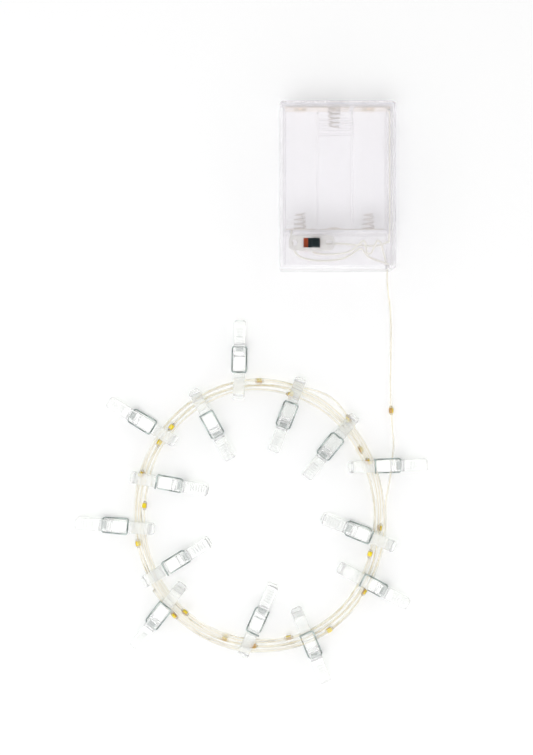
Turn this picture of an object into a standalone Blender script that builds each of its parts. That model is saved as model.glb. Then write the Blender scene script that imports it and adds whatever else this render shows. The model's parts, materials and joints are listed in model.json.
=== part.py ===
"""Photo display string: a clear battery case, twin wire with LED drops wound in a ring, and spring pegs.

Units are metres with +Z up. The origin is the centre of the face that the battery case rests on.
"""

import bisect
import math

import bmesh
import bpy
from mathutils import Vector

MM = 0.001

# Clearance between neighbouring pieces, and how far a cutter or a joined rib runs past a face
GAP = 0.3 * MM
OVERRUN = 1.0 * MM

# Battery case
CASE_WIDTH = 50.3 * MM
CASE_LENGTH = 72.8 * MM
CASE_HEIGHT = 21.0 * MM
CASE_WALL = 1.3 * MM
CASE_END_WALL = 1.8 * MM
CASE_ROOF = 1.6 * MM
CASE_CORNER = 1.4 * MM
SWITCH_BAY = 13.6 * MM
DIVIDER = 1.6 * MM

# Cells that the case holds side by side, and the channel beside them for a wire
CELLS = 3
CELL_CLEARANCE = 0.35 * MM
CELL_SPACING = 0.5 * MM
WIRE_CHANNEL = 1.7 * MM
CELL_RIB = 0.8 * MM
CELL_RIB_DEPTH = 5.6 * MM
CELL_RIB_SETBACK = 3.0 * MM

# Sliding battery cover and the grooves that carry it
COVER_LIP = 1.2 * MM
COVER_LIP_REACH = 1.2 * MM
COVER_TONGUE = 1.4 * MM
COVER_LEDGE = 0.8 * MM
GRIP_GROOVES = 4
GRIP_GROOVE_LENGTH = 16.0 * MM
GRIP_GROOVE_WIDTH = 1.0 * MM
GRIP_GROOVE_DEPTH = 0.5 * MM
GRIP_GROOVE_PITCH = 2.2 * MM
GRIP_FROM_END = 5.0 * MM

# Contact plates and battery springs
PLATE = 0.4 * MM
PLATE_SPACING = 2.0 * MM
PLATE_HEIGHT = 11.0 * MM
BUTTON_RADIUS = 2.8 * MM
BUTTON_DEPTH = 0.9 * MM
BATTERY_SPRING_RADIUS = 2.6 * MM
BATTERY_SPRING_TIP_RADIUS = 2.1 * MM
BATTERY_SPRING_WIRE = 0.7 * MM
BATTERY_SPRING_LENGTH = 7.6 * MM
BATTERY_SPRING_TURNS = 3

# Slide switch
SWITCH_FROM_LEFT = 13.85 * MM
SWITCH_FROM_END = 11.4 * MM
SWITCH_SLOT_LENGTH = 6.9 * MM
SWITCH_SLOT_WIDTH = 4.2 * MM
SWITCH_EAR_SPACING = 15.3 * MM
SWITCH_FRAME_LENGTH = 20.0 * MM
SWITCH_FRAME_WIDTH = 6.6 * MM
SWITCH_EAR_ROUND = 2.0 * MM
SWITCH_SHEET = 0.5 * MM
SWITCH_FLANGE_LENGTH = 10.8 * MM
SWITCH_FLANGE_HEIGHT = 4.6 * MM
SWITCH_BASE_THICKNESS = 1.4 * MM
STAKE_RADIUS = 1.1 * MM
STAKE_DROP = 1.4 * MM
KNOB_LENGTH = 3.1 * MM
KNOB_WIDTH = 3.6 * MM
KNOB_RISE = 2.2 * MM
KNOB_FOOT_LENGTH = 5.2 * MM
KNOB_TOE_LENGTH = 0.5 * MM
KNOB_FOOT_WIDTH = 4.8 * MM
KNOB_FOOT_HEIGHT = 1.0 * MM
KNOB_RIDGES = 3
KNOB_RIDGE_DEPTH = 0.3 * MM
KNOB_RIDGE_WIDTH = 0.35 * MM
KNOB_RIDGE_PITCH = 0.8 * MM
TERMINAL_PITCH = 3.0 * MM
TERMINAL_WIDTH = 0.8 * MM
TERMINAL_THICKNESS = 0.5 * MM
TERMINAL_DROP = 2.8 * MM
SOLDER_FROM_TIP = 0.8 * MM

# Wires inside the case
INNER_WIRE = 0.9 * MM
WIRE_HOLE_RADIUS = 0.9 * MM
WIRE_HOLE_FROM_WALL = 3.8 * MM
WIRE_HOLE_HEIGHT = 15.5 * MM
EXIT_RADIUS = 1.1 * MM
EXIT_FROM_SIDE = 2.55 * MM
EXIT_HEIGHT = 4.2 * MM

# Peg lever, measured from the tip of the jaws and from the plane between the levers
CLIP_LENGTH = 35.0 * MM
CLIP_WIDTH = 5.0 * MM
AXIS_FROM_TIP = 22.6 * MM
BAR_FROM_TIP = 12.0 * MM
JAW_OPENING = 0.3 * MM
JAW_PAD = 1.6 * MM
NOSE_HEIGHT = 1.3 * MM
NOSE_LENGTH = 5.5 * MM
BACK_HEIGHT = 3.5 * MM
HANDLE_HEIGHT = 4.7 * MM
HANDLE_THICKNESS = 1.5 * MM
HANDLE_ROUND = 0.6 * MM
THROAT_HEIGHT = 2.1 * MM
THROAT_CORNER = 0.6 * MM
RIDGE_HEIGHT = 1.2 * MM
RIDGE_LENGTH = 0.8 * MM
HEEL_HEIGHT = 0.9 * MM
HEEL_LENGTH = 1.6 * MM
NOTCH_WIDTH = 1.3 * MM
NOTCH_DEPTH = 0.95 * MM
CORNER_ROUND = 0.9 * MM
CORNER_RUN = 1.6 * MM
CHANNEL_FROM_AXIS = 2.6 * MM
CHANNEL_LENGTH = 8.0 * MM
CHANNEL_WIDTH = 2.6 * MM
CHANNEL_DEPTH = 0.45 * MM

# Peg spring
CLIP_WIRE = 0.7 * MM
CLIP_COIL_RADIUS = 1.75 * MM
CLIP_COIL_TURNS = 3.5
CLIP_LEG_BEND = 0.9 * MM

# Twin wire
CORD = 1.4 * MM
DROP = 1.78 * MM
DROP_LENGTH = 3.2 * MM
DROP_BEFORE_RING = 44.7 * MM

# Wound ring of the twin wire
RING_X = -34.5 * MM
RING_Y = -143.8 * MM
RING_HALF_WIDTH = 53.3 * MM
RING_HALF_LENGTH = 57.8 * MM
RING_BULGE = 1.8 * MM
RING_BULGE_AT = math.radians(-50)
RING_BULGE_POWER = 4
RING_TURNS = 5.4
CLIMB_TURNS = 0.5
TURN_PITCH = 2.05 * MM
LAYER_PITCH = 2.0 * MM
LOOSE_TURN = 4.84
LOOSE_SPAN = 0.05
LOOSE_RISE = 3.0 * MM

# Turns of the ring after which its LED drops lie: fifteen seen in the photograph, four more under pegs
DROP_TURNS = (
    0.163, 0.461, 0.751, 1.019, 1.292, 1.599, 1.911, 2.212, 2.511, 2.792, 3.055, 3.352, 3.625, 3.930,
    4.256, 4.552, 4.871, 5.101, 5.360,
)

# Points on each curl of a spring and on each loop of the ring, and steps of the lever's arcs and of a route
CURL_POINTS = 8
LOOP_POINTS = 24
NOSE_STEPS = 4
SEAT_STEPS = 5
ROUTE_STEPS = 20

# Least angle between faces that shows as an edge, and half the arc that a peg's direction is read from
EDGE_ANGLE = math.radians(35)
TANGENT_ARC = math.radians(0.5)

# Pegs: place on the ring and lean, in degrees, handle outward or not, grip as a share of the axis distance
CLIP_SHARES = (
    (98.6, -11.1, True, 0.275),
    (140.2, 3.8, True, 0.300),
    (117.8, -2.8, False, 0.235),
    (72.8, -1.1, False, 0.255),
    (44.7, 10.9, False, 0.255),
    (22.9, -17.9, True, 0.435),
    (347.6, -13.7, False, 0.375),
    (327.8, -2.1, True, 0.595),
    (291.8, -0.6, True, 0.605),
    (265.1, -16.4, False, 0.265),
    (224.6, 12.1, True, 0.430),
    (210.8, 5.1, False, 0.245),
    (186.7, -10.7, True, 0.310),
    (163.3, 4.3, False, 0.245),
)

# Route of the lead from the case to the ring, in millimetres
LEAD_ROUTE = (
    (22.6, -37.6, 4.2),
    (22.7, -41.0, 2.9),
    (23.3, -45.5, 1.3),
    (24.1, -52.0, 0.76),
    (24.6, -62.0, 0.76),
    (24.5, -74.0, 0.76),
    (24.3, -86.0, 0.92),
    (24.6, -97.9, 0.95),
    (25.2, -106.0, 1.1),
    (25.6, -112.6, 2.1),
    (25.1, -118.0, 3.7),
    (24.6, -122.5, 4.02),
    (24.1, -127.0, 3.75),
    (23.2, -132.5, 3.0),
    (22.2, -138.0, 2.65),
)

# Wires in the switch bay: X from the switch to the exit, Y across the bay, Z from the exit to the roof
POSITIVE_SHARES = (
    (0.98, 0.79, 0.37),
    (0.86, 0.68, 0.33),
    (0.63, 0.69, 0.32),
    (0.39, 0.74, 0.34),
    (0.21, 0.72, 0.40),
)
SWITCHED_SHARES = (
    (0.01, 0.51, 0.45),
    (0.08, 0.40, 0.53),
    (0.27, 0.37, 0.64),
    (0.48, 0.44, 0.75),
    (0.61, 0.68, 0.78),
    (0.67, 0.81, 0.76),
    (0.70, 0.66, 0.74),
    (0.71, 0.43, 0.72),
    (0.76, 0.38, 0.72),
    (0.81, 0.62, 0.75),
    (0.85, 0.81, 0.74),
    (0.90, 0.71, 0.64),
    (0.93, 0.49, 0.46),
    (0.96, 0.31, 0.21),
    (0.98, 0.18, 0.05),
)
NEGATIVE_SHARES = (
    (-0.23, 0.54, 0.72),
    (-0.15, 0.29, 0.68),
    (0.04, 0.18, 0.62),
    (0.25, 0.18, 0.55),
    (0.45, 0.28, 0.53),
    (0.58, 0.50, 0.54),
    (0.65, 0.56, 0.55),
    (0.73, 0.32, 0.53),
    (0.82, 0.22, 0.45),
    (0.92, 0.15, 0.33),
    (0.99, 0.10, 0.20),
    (1.01, 0.10, 0.07),
)

# Sizes worked out from the ones above
INNER_HALF = CASE_WIDTH / 2 - CASE_WALL
BACK_Y = CASE_LENGTH / 2 - CASE_END_WALL
FRONT_Y = -CASE_LENGTH / 2 + CASE_END_WALL
DIVIDER_FRONT = FRONT_Y + SWITCH_BAY
DIVIDER_BACK = DIVIDER_FRONT + DIVIDER
ROOF_Z = CASE_HEIGHT - CASE_ROOF
COVER_TOP = COVER_LIP + GAP + COVER_TONGUE
INNER_FLOOR = COVER_TOP + GAP
CHANNEL_X = INNER_HALF - WIRE_CHANNEL - CELL_RIB
CELL_PITCH = (INNER_HALF + CHANNEL_X - 2 * CELL_CLEARANCE + CELL_SPACING) / CELLS
CELL_RADIUS = (CELL_PITCH - CELL_SPACING) / 2
CELL_Z = ROOF_Z - CELL_CLEARANCE - CELL_RADIUS
CELL_X = [-INNER_HALF + CELL_CLEARANCE + CELL_RADIUS + i * CELL_PITCH for i in range(CELLS)]
PLATE_WIDTH = CELL_PITCH - PLATE_SPACING
SWITCH_X = -CASE_WIDTH / 2 + SWITCH_FROM_LEFT
SWITCH_Y = -CASE_LENGTH / 2 + SWITCH_FROM_END
FRAME_TOP = ROOF_Z - GAP
EXIT_X = CASE_WIDTH / 2 - EXIT_FROM_SIDE
COIL_OUTER = CLIP_COIL_RADIUS + CLIP_WIRE / 2
SEAT_RADIUS = COIL_OUTER + GAP
LEG_Y = CLIP_WIDTH / 2 + GAP + CLIP_WIRE / 2
BAR_Z = BACK_HEIGHT - NOTCH_DEPTH + GAP + CLIP_WIRE / 2


def remove_all():
    """Empties the scene of its objects."""
    for thing in list(bpy.data.objects):
        bpy.data.objects.remove(thing)


def finish_of(name, colour, roughness, metallic=0.0, alpha=1.0):
    """Gives a Principled material with the piece's colour, roughness and metal share."""
    material = bpy.data.materials.new(name)
    material.use_nodes = True
    shader = material.node_tree.nodes["Principled BSDF"]
    shader.inputs["Base Color"].default_value = (*colour, 1.0)
    shader.inputs["Roughness"].default_value = roughness
    shader.inputs["Metallic"].default_value = metallic
    shader.inputs["Alpha"].default_value = alpha
    material.diffuse_color = (*colour, alpha)
    return material


def place(name, data, material):
    """Puts mesh or curve data into the scene as a named object."""
    thing = bpy.data.objects.new(name, data)
    bpy.context.scene.collection.objects.link(thing)
    if material and not data.materials:
        data.materials.append(material)
    return thing


def mesh_from(bm, name):
    """Turns a bmesh into mesh data with its faces outward and round sides shaded smooth."""
    bmesh.ops.recalc_face_normals(bm, faces=bm.faces)
    mesh = bpy.data.meshes.new(name)
    bm.to_mesh(mesh)
    bm.free()
    mesh.shade_smooth()
    mesh.set_sharp_from_angle(angle=EDGE_ANGLE)
    return mesh


def add_box(bm, low, high):
    """Adds one box between two corners."""
    low, high = Vector(low), Vector(high)
    made = bmesh.ops.create_cube(bm, size=1.0)
    for vert in made["verts"]:
        vert.co = (low + high) / 2 + vert.co * (high - low)


def boxes(name, corners, material=None):
    """Makes one object of separate boxes."""
    bm = bmesh.new()
    for low, high in corners:
        add_box(bm, low, high)
    return place(name, mesh_from(bm, name), material)


def prism(name, outline, low, high, axis="Z", material=None):
    """Extrudes a flat outline from low to high along Z, or along Y with the outline in X and Z."""
    bm = bmesh.new()
    if axis == "Z":
        ring = [bm.verts.new((u, v, low)) for u, v in outline]
        run = Vector((0, 0, high - low))
    else:
        ring = [bm.verts.new((u, low, v)) for u, v in outline]
        run = Vector((0, high - low, 0))
    face = bm.faces.new(ring)
    made = bmesh.ops.extrude_face_region(bm, geom=[face])
    verts = [item for item in made["geom"] if isinstance(item, bmesh.types.BMVert)]
    bmesh.ops.translate(bm, verts=verts, vec=run)
    return place(name, mesh_from(bm, name), material)


def circle(x, y, radius, sides=16):
    """Gives the points of a round outline."""
    turn = 2 * math.pi / sides
    return [(x + radius * math.cos(i * turn), y + radius * math.sin(i * turn)) for i in range(sides)]


def rounded_rectangle(half_x, half_y, radius, steps=2):
    """Gives a rectangle's outline with round corners, about the origin."""
    points = []
    for corner in range(4):
        sign_x = 1 if corner in (0, 3) else -1
        sign_y = 1 if corner in (0, 1) else -1
        for step in range(steps + 1):
            angle = math.pi / 2 * (corner + step / steps)
            x = sign_x * (half_x - radius) + radius * math.cos(angle)
            y = sign_y * (half_y - radius) + radius * math.sin(angle)
            points.append((x, y))
    return points


def boolean(target, other, operation):
    """Cuts another object from the target or joins it on, and hides it as a guide."""
    other.hide_render = True
    other.display_type = "WIRE"
    modifier = target.modifiers.new(other.name, "BOOLEAN")
    modifier.operation = operation
    modifier.object = other


def smooth_route(route, step):
    """Reads points a step apart from a smooth curve through the route's own points."""
    points = [Vector(p) for p in route]
    ends = [points[0] * 2 - points[1], *points, points[-1] * 2 - points[-2]]
    fine = []
    for a, b, c, d in zip(ends, ends[1:], ends[2:], ends[3:]):
        for i in range(ROUTE_STEPS):
            t = i / ROUTE_STEPS
            fine.append(
                (b * 2 + (c - a) * t + (a * 2 - b * 5 + c * 4 - d) * t * t
                 + (b * 3 - a - c * 3 + d) * t * t * t) / 2
            )
    fine.append(points[-1])
    spaced = [fine[0]]
    for point in fine[1:-1]:
        if (point - spaced[-1]).length >= step and (point - fine[-1]).length >= step / 2:
            spaced.append(point)
    return spaced + [fine[-1]]


def tube(name, points, diameter, material, resolution=1, swell=None):
    """Makes a round tube along points, with a factor for its radius at each if given."""
    curve = bpy.data.curves.new(name, "CURVE")
    curve.dimensions = "3D"
    curve.bevel_depth = diameter / 2
    curve.bevel_resolution = resolution
    curve.use_fill_caps = True
    spline = curve.splines.new("POLY")
    spline.points.add(len(points) - 1)
    for i, point in enumerate(points):
        spline.points[i].co = (*point, 1.0)
        spline.points[i].radius = swell[i] if swell else 1.0
    spline.use_smooth = True
    return place(name, curve, material)


def build_tray(material):
    """Makes the case tray: roof, walls, divider, ribs, cover grooves, switch slot and wire holes."""
    tray = prism(
        "case_tray",
        rounded_rectangle(CASE_WIDTH / 2, CASE_LENGTH / 2, CASE_CORNER),
        0, CASE_HEIGHT, material=material,
    )
    mouth = INNER_HALF - COVER_LIP_REACH
    hollows = boxes("tray_hollows", [
        ((-INNER_HALF, FRONT_Y, COVER_LIP), (INNER_HALF, BACK_Y, ROOF_Z)),
    ])
    boolean(tray, hollows, "DIFFERENCE")
    mouth_cut = boxes("tray_mouth", [
        ((-mouth, FRONT_Y, -OVERRUN), (mouth, CASE_LENGTH / 2 + OVERRUN, COVER_LIP + OVERRUN)),
    ])
    boolean(tray, mouth_cut, "DIFFERENCE")
    slide_cut = boxes("tray_slide", [
        ((-INNER_HALF, BACK_Y - OVERRUN, COVER_LIP), (INNER_HALF, CASE_LENGTH / 2 + OVERRUN, INNER_FLOOR)),
    ])
    boolean(tray, slide_cut, "DIFFERENCE")
    walls = boxes("tray_walls", [
        ((-INNER_HALF - OVERRUN / 2, DIVIDER_FRONT, INNER_FLOOR),
         (CHANNEL_X + CELL_RIB, DIVIDER_BACK, ROOF_Z + OVERRUN / 2)),
    ])
    boolean(tray, walls, "UNION")
    rib_low = DIVIDER_BACK + CELL_RIB_SETBACK
    rib_high = BACK_Y - CELL_RIB_SETBACK
    channel = boxes("tray_channel", [
        ((CHANNEL_X, DIVIDER_BACK - OVERRUN / 2, INNER_FLOOR),
         (CHANNEL_X + CELL_RIB, rib_high, ROOF_Z + OVERRUN / 2)),
    ])
    boolean(tray, channel, "UNION")
    ribs = []
    for i in range(2):
        middle = (CELL_X[i] + CELL_X[i + 1]) / 2
        ribs.append((
            (middle - CELL_RIB / 2, rib_low, ROOF_Z - CELL_RIB_DEPTH),
            (middle + CELL_RIB / 2, rib_high, ROOF_Z + OVERRUN / 2),
        ))
    boolean(tray, boxes("tray_ribs", ribs), "UNION")
    ledges = []
    for side in (-1, 1):
        near = side * (INNER_HALF - COVER_LEDGE)
        far = side * (INNER_HALF + OVERRUN / 2)
        ledges.append((
            (min(near, far), rib_low, INNER_FLOOR),
            (max(near, far), rib_high, INNER_FLOOR + COVER_LEDGE),
        ))
    boolean(tray, boxes("tray_ledges", ledges), "UNION")
    slot = boxes("tray_switch_slot", [
        ((SWITCH_X - SWITCH_SLOT_LENGTH / 2, SWITCH_Y - SWITCH_SLOT_WIDTH / 2, ROOF_Z - OVERRUN),
         (SWITCH_X + SWITCH_SLOT_LENGTH / 2, SWITCH_Y + SWITCH_SLOT_WIDTH / 2, CASE_HEIGHT + OVERRUN)),
    ])
    boolean(tray, slot, "DIFFERENCE")
    for side, label in ((-1, "left"), (1, "right")):
        stake = prism(
            f"tray_stake_{label}",
            circle(SWITCH_X + side * SWITCH_EAR_SPACING / 2, SWITCH_Y, STAKE_RADIUS, 10),
            ROOF_Z - STAKE_DROP, ROOF_Z + OVERRUN / 2,
        )
        boolean(tray, stake, "UNION")
    wire_hole = prism(
        "tray_wire_hole",
        circle(-INNER_HALF + WIRE_HOLE_FROM_WALL, WIRE_HOLE_HEIGHT, WIRE_HOLE_RADIUS, 10),
        DIVIDER_FRONT - OVERRUN, DIVIDER_BACK + OVERRUN, axis="Y",
    )
    boolean(tray, wire_hole, "DIFFERENCE")
    exit_hole = prism(
        "tray_exit_hole",
        circle(EXIT_X, EXIT_HEIGHT, EXIT_RADIUS, 12),
        -CASE_LENGTH / 2 - OVERRUN, FRONT_Y + OVERRUN, axis="Y",
    )
    boolean(tray, exit_hole, "DIFFERENCE")


def build_cover(material):
    """Makes the sliding cover: side tongues, a flush middle and grip grooves."""
    tongue = INNER_HALF - GAP
    middle = INNER_HALF - COVER_LIP_REACH - GAP
    low_y = FRONT_Y + GAP
    high_y = CASE_LENGTH / 2
    outline = [
        (-middle, 0), (middle, 0), (middle, COVER_LIP + GAP), (tongue, COVER_LIP + GAP),
        (tongue, COVER_TOP), (-tongue, COVER_TOP), (-tongue, COVER_LIP + GAP), (-middle, COVER_LIP + GAP),
    ]
    cover = prism("battery_cover", outline, low_y, high_y, axis="Y", material=material)
    grooves = []
    for i in range(GRIP_GROOVES):
        y = high_y - GRIP_FROM_END - i * GRIP_GROOVE_PITCH
        grooves.append((
            (-GRIP_GROOVE_LENGTH / 2, y - GRIP_GROOVE_WIDTH / 2, -OVERRUN),
            (GRIP_GROOVE_LENGTH / 2, y + GRIP_GROOVE_WIDTH / 2, GRIP_GROOVE_DEPTH),
        ))
    boolean(cover, boxes("cover_grip", grooves), "DIFFERENCE")


def build_plate(name, left, right, back, button_x, material):
    """Makes a contact plate against one end of the bays, with its button if it has one."""
    y = BACK_Y - GAP - PLATE if back else DIVIDER_BACK + GAP
    low_z = CELL_Z - PLATE_HEIGHT / 2
    plate = boxes(name, [((left, y, low_z), (right, y + PLATE, low_z + PLATE_HEIGHT))], material)
    if button_x is None:
        return
    if back:
        near, far = y - BUTTON_DEPTH, y + PLATE / 2
    else:
        near, far = y + PLATE / 2, y + PLATE + BUTTON_DEPTH
    button = prism(f"{name}_button", circle(button_x, CELL_Z, BUTTON_RADIUS, 14), near, far, axis="Y")
    boolean(plate, button, "UNION")


def build_contacts(material):
    """Makes the four plates that join the cells in series."""
    half = PLATE_WIDTH / 2
    build_plate("contact_series_top", CELL_X[0] - half, CELL_X[1] + half, True, CELL_X[0], material)
    build_plate("contact_series_bottom", CELL_X[1] - half, CELL_X[2] + half, False, CELL_X[1], material)
    tab = CHANNEL_X + CELL_RIB + INNER_WIRE
    build_plate("contact_positive", CELL_X[2] - half, tab, True, CELL_X[2], material)
    build_plate("contact_negative", CELL_X[0] - half, CELL_X[0] + half, False, None, material)


def build_battery_spring(name, x, back, material):
    """Makes one battery spring, standing on its contact plate and narrowing to its tip."""
    base = BACK_Y - 2 * GAP - PLATE if back else DIVIDER_BACK + 2 * GAP + PLATE
    along = -1 if back else 1
    points = []
    steps = BATTERY_SPRING_TURNS * CURL_POINTS
    travel = BATTERY_SPRING_LENGTH - BATTERY_SPRING_WIRE
    for i in range(steps + 1):
        share = i / steps
        angle = 2 * math.pi * i / CURL_POINTS
        radius = BATTERY_SPRING_RADIUS + (BATTERY_SPRING_TIP_RADIUS - BATTERY_SPRING_RADIUS) * share
        y = base + along * (BATTERY_SPRING_WIRE / 2 + travel * share)
        points.append((x + radius * math.cos(angle), y, CELL_Z + radius * math.sin(angle)))
    tube(name, points, BATTERY_SPRING_WIRE, material)


def build_switch(sheet, board, knob_finish):
    """Makes the slide switch: folded frame, base with terminals, and the knob with its foot."""
    half_width = SWITCH_FRAME_WIDTH / 2
    oblong = rounded_rectangle(SWITCH_FRAME_LENGTH / 2, half_width, SWITCH_EAR_ROUND)
    outline = [(SWITCH_X + x, SWITCH_Y + y) for x, y in oblong]
    frame_low = FRAME_TOP - SWITCH_SHEET
    frame = prism("switch_frame", outline, frame_low, FRAME_TOP, material=sheet)
    flanges = []
    for side in (-1, 1):
        outer = SWITCH_Y + side * half_width
        inner = SWITCH_Y + side * (half_width - SWITCH_SHEET)
        flanges.append((
            (SWITCH_X - SWITCH_FLANGE_LENGTH / 2, min(outer, inner), frame_low - SWITCH_FLANGE_HEIGHT),
            (SWITCH_X + SWITCH_FLANGE_LENGTH / 2, max(outer, inner), FRAME_TOP - SWITCH_SHEET / 2),
        ))
    boolean(frame, boxes("frame_flanges", flanges), "UNION")
    reach = SWITCH_SLOT_LENGTH / 2 + GAP
    window = boxes("frame_window", [
        ((SWITCH_X - reach, SWITCH_Y - SWITCH_SLOT_WIDTH / 2, frame_low - OVERRUN / 2),
         (SWITCH_X + reach, SWITCH_Y + SWITCH_SLOT_WIDTH / 2, FRAME_TOP + OVERRUN)),
    ])
    boolean(frame, window, "DIFFERENCE")
    for side, label in ((-1, "left"), (1, "right")):
        hole = prism(
            f"frame_hole_{label}",
            circle(SWITCH_X + side * SWITCH_EAR_SPACING / 2, SWITCH_Y, STAKE_RADIUS + GAP, 10),
            frame_low - OVERRUN, FRAME_TOP + OVERRUN,
        )
        boolean(frame, hole, "DIFFERENCE")

    base_half = half_width - SWITCH_SHEET - GAP
    base_low = frame_low - SWITCH_FLANGE_HEIGHT
    base = boxes("switch_base", [
        ((SWITCH_X - SWITCH_FLANGE_LENGTH / 2, SWITCH_Y - base_half, base_low),
         (SWITCH_X + SWITCH_FLANGE_LENGTH / 2, SWITCH_Y + base_half, base_low + SWITCH_BASE_THICKNESS)),
    ], board)
    pins = []
    pin_top = base_low + SWITCH_BASE_THICKNESS / 2
    for i in (-1, 0, 1):
        x = SWITCH_X + i * TERMINAL_PITCH
        pins.append((
            (x - TERMINAL_WIDTH / 2, SWITCH_Y - TERMINAL_THICKNESS / 2, base_low - TERMINAL_DROP),
            (x + TERMINAL_WIDTH / 2, SWITCH_Y + TERMINAL_THICKNESS / 2, pin_top),
        ))
    boolean(base, boxes("switch_pins", pins), "UNION")

    knob_x = SWITCH_X + SWITCH_SLOT_LENGTH / 2 - GAP - KNOB_LENGTH / 2
    knob_top = CASE_HEIGHT + KNOB_RISE
    foot_top = frame_low - GAP
    knob = boxes("switch_knob", [
        ((knob_x - KNOB_LENGTH / 2, SWITCH_Y - KNOB_WIDTH / 2, foot_top - KNOB_FOOT_HEIGHT / 2),
         (knob_x + KNOB_LENGTH / 2, SWITCH_Y + KNOB_WIDTH / 2, knob_top)),
    ], knob_finish)
    toe = knob_x + KNOB_LENGTH / 2 + KNOB_TOE_LENGTH
    foot = boxes("knob_foot", [
        ((toe - KNOB_FOOT_LENGTH, SWITCH_Y - KNOB_FOOT_WIDTH / 2, foot_top - KNOB_FOOT_HEIGHT),
         (toe, SWITCH_Y + KNOB_FOOT_WIDTH / 2, foot_top)),
    ])
    boolean(knob, foot, "UNION")
    ridges = []
    for i in range(KNOB_RIDGES):
        x = knob_x + (i - (KNOB_RIDGES - 1) / 2) * KNOB_RIDGE_PITCH
        ridges.append((
            (x - KNOB_RIDGE_WIDTH / 2, SWITCH_Y - KNOB_WIDTH, knob_top - KNOB_RIDGE_DEPTH),
            (x + KNOB_RIDGE_WIDTH / 2, SWITCH_Y + KNOB_WIDTH, knob_top + OVERRUN),
        ))
    boolean(knob, boxes("knob_ridges", ridges), "DIFFERENCE")
    return base_low - TERMINAL_DROP + SOLDER_FROM_TIP


def bay_points(shares):
    """Gives points of the switch bay from their shares of the way along X, Y and Z."""
    return [
        Vector((
            SWITCH_X + x * (EXIT_X - SWITCH_X),
            FRONT_Y + y * SWITCH_BAY,
            EXIT_HEIGHT + z * (ROOF_Z - EXIT_HEIGHT),
        ))
        for x, y, z in shares
    ]


def build_inner_wires(material, terminal_z):
    """Makes the three wires of the case, each from the piece it is soldered to."""
    bay = bay_points(POSITIVE_SHARES)
    channel_x = (CHANNEL_X + CELL_RIB + INNER_HALF) / 2
    start = Vector((channel_x, BACK_Y - GAP - PLATE - GAP, CELL_Z))
    corner = Vector((channel_x, DIVIDER_FRONT, (CELL_Z + bay[0].z) / 2))
    end_x = SWITCH_X + TERMINAL_PITCH + TERMINAL_WIDTH / 2 + GAP
    end = Vector((end_x, SWITCH_Y, terminal_z))
    middle = (start + corner) / 2 + Vector((0, 0, (start.z - corner.z) / 2))
    route = [start, middle, corner, *bay, end]
    tube("wire_positive", smooth_route(route, 4 * INNER_WIRE), INNER_WIRE, material)

    inside = FRONT_Y + GAP
    start = Vector((SWITCH_X, SWITCH_Y - TERMINAL_THICKNESS / 2 - GAP, terminal_z))
    end = Vector((EXIT_X - INNER_WIRE / 2 - GAP / 2, inside, EXIT_HEIGHT))
    route = [start, *bay_points(SWITCHED_SHARES), end]
    tube("wire_switched", smooth_route(route, 2 * INNER_WIRE), INNER_WIRE, material)

    start = Vector((-INNER_HALF + WIRE_HOLE_FROM_WALL, DIVIDER_BACK, WIRE_HOLE_HEIGHT))
    mouth = Vector((start.x, DIVIDER_FRONT - 2 * INNER_WIRE, start.z))
    end = Vector((EXIT_X + INNER_WIRE / 2 + GAP / 2, inside, EXIT_HEIGHT))
    route = [start, mouth, *bay_points(NEGATIVE_SHARES), end]
    tube("wire_negative", smooth_route(route, 2 * INNER_WIRE), INNER_WIRE, material)


def lever_outline():
    """Gives the side view of the upper lever about the spring's axis: X towards the handle, Z up."""
    points = [(JAW_PAD, JAW_OPENING / 2), (0, JAW_OPENING / 2)]
    for step in range(NOSE_STEPS + 1):
        angle = math.pi / 2 * step / NOSE_STEPS
        x = NOSE_LENGTH * (1 - math.cos(angle))
        z = NOSE_HEIGHT + (BACK_HEIGHT - NOSE_HEIGHT) * math.sin(angle)
        points.append((x, z))
    notch_floor = BACK_HEIGHT - NOTCH_DEPTH
    points += [
        (BAR_FROM_TIP - NOTCH_WIDTH / 2, BACK_HEIGHT),
        (BAR_FROM_TIP - NOTCH_WIDTH / 2, notch_floor),
        (BAR_FROM_TIP + NOTCH_WIDTH / 2, notch_floor),
        (BAR_FROM_TIP + NOTCH_WIDTH / 2, BACK_HEIGHT),
        (AXIS_FROM_TIP, BACK_HEIGHT),
        (CLIP_LENGTH - HANDLE_ROUND, HANDLE_HEIGHT),
        (CLIP_LENGTH, HANDLE_HEIGHT - HANDLE_ROUND),
        (CLIP_LENGTH, HANDLE_HEIGHT - HANDLE_THICKNESS + HANDLE_ROUND / 2),
        (CLIP_LENGTH - HANDLE_ROUND / 2, HANDLE_HEIGHT - HANDLE_THICKNESS),
    ]
    heel = math.asin(HEEL_HEIGHT / SEAT_RADIUS)
    heel_x = AXIS_FROM_TIP + SEAT_RADIUS * math.cos(heel)
    points.append((heel_x + HEEL_LENGTH, HEEL_HEIGHT))
    ridge = math.pi - math.asin(RIDGE_HEIGHT / SEAT_RADIUS)
    for step in range(SEAT_STEPS + 1):
        angle = heel + (ridge - heel) * step / SEAT_STEPS
        points.append((AXIS_FROM_TIP + SEAT_RADIUS * math.cos(angle), SEAT_RADIUS * math.sin(angle)))
    ridge_x = points[-1][0] - RIDGE_LENGTH
    points += [
        (ridge_x, RIDGE_HEIGHT),
        (ridge_x - (THROAT_HEIGHT - RIDGE_HEIGHT), THROAT_HEIGHT),
        (JAW_PAD + THROAT_CORNER, THROAT_HEIGHT),
        (JAW_PAD, THROAT_HEIGHT - THROAT_CORNER),
    ]
    return [(x - AXIS_FROM_TIP, z) for x, z in points]


def lever_corner(x):
    """Gives how far the lever's side is drawn in along X at a place, which rounds its ends in plan."""
    from_tip = x + AXIS_FROM_TIP
    from_end = CLIP_LENGTH - from_tip
    near_tip = max(0.0, 1 - from_tip / CORNER_RUN) ** 2
    near_end = max(0.0, 1 - from_end / CORNER_RUN) ** 2
    return CORNER_ROUND * (near_tip - near_end)


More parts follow.
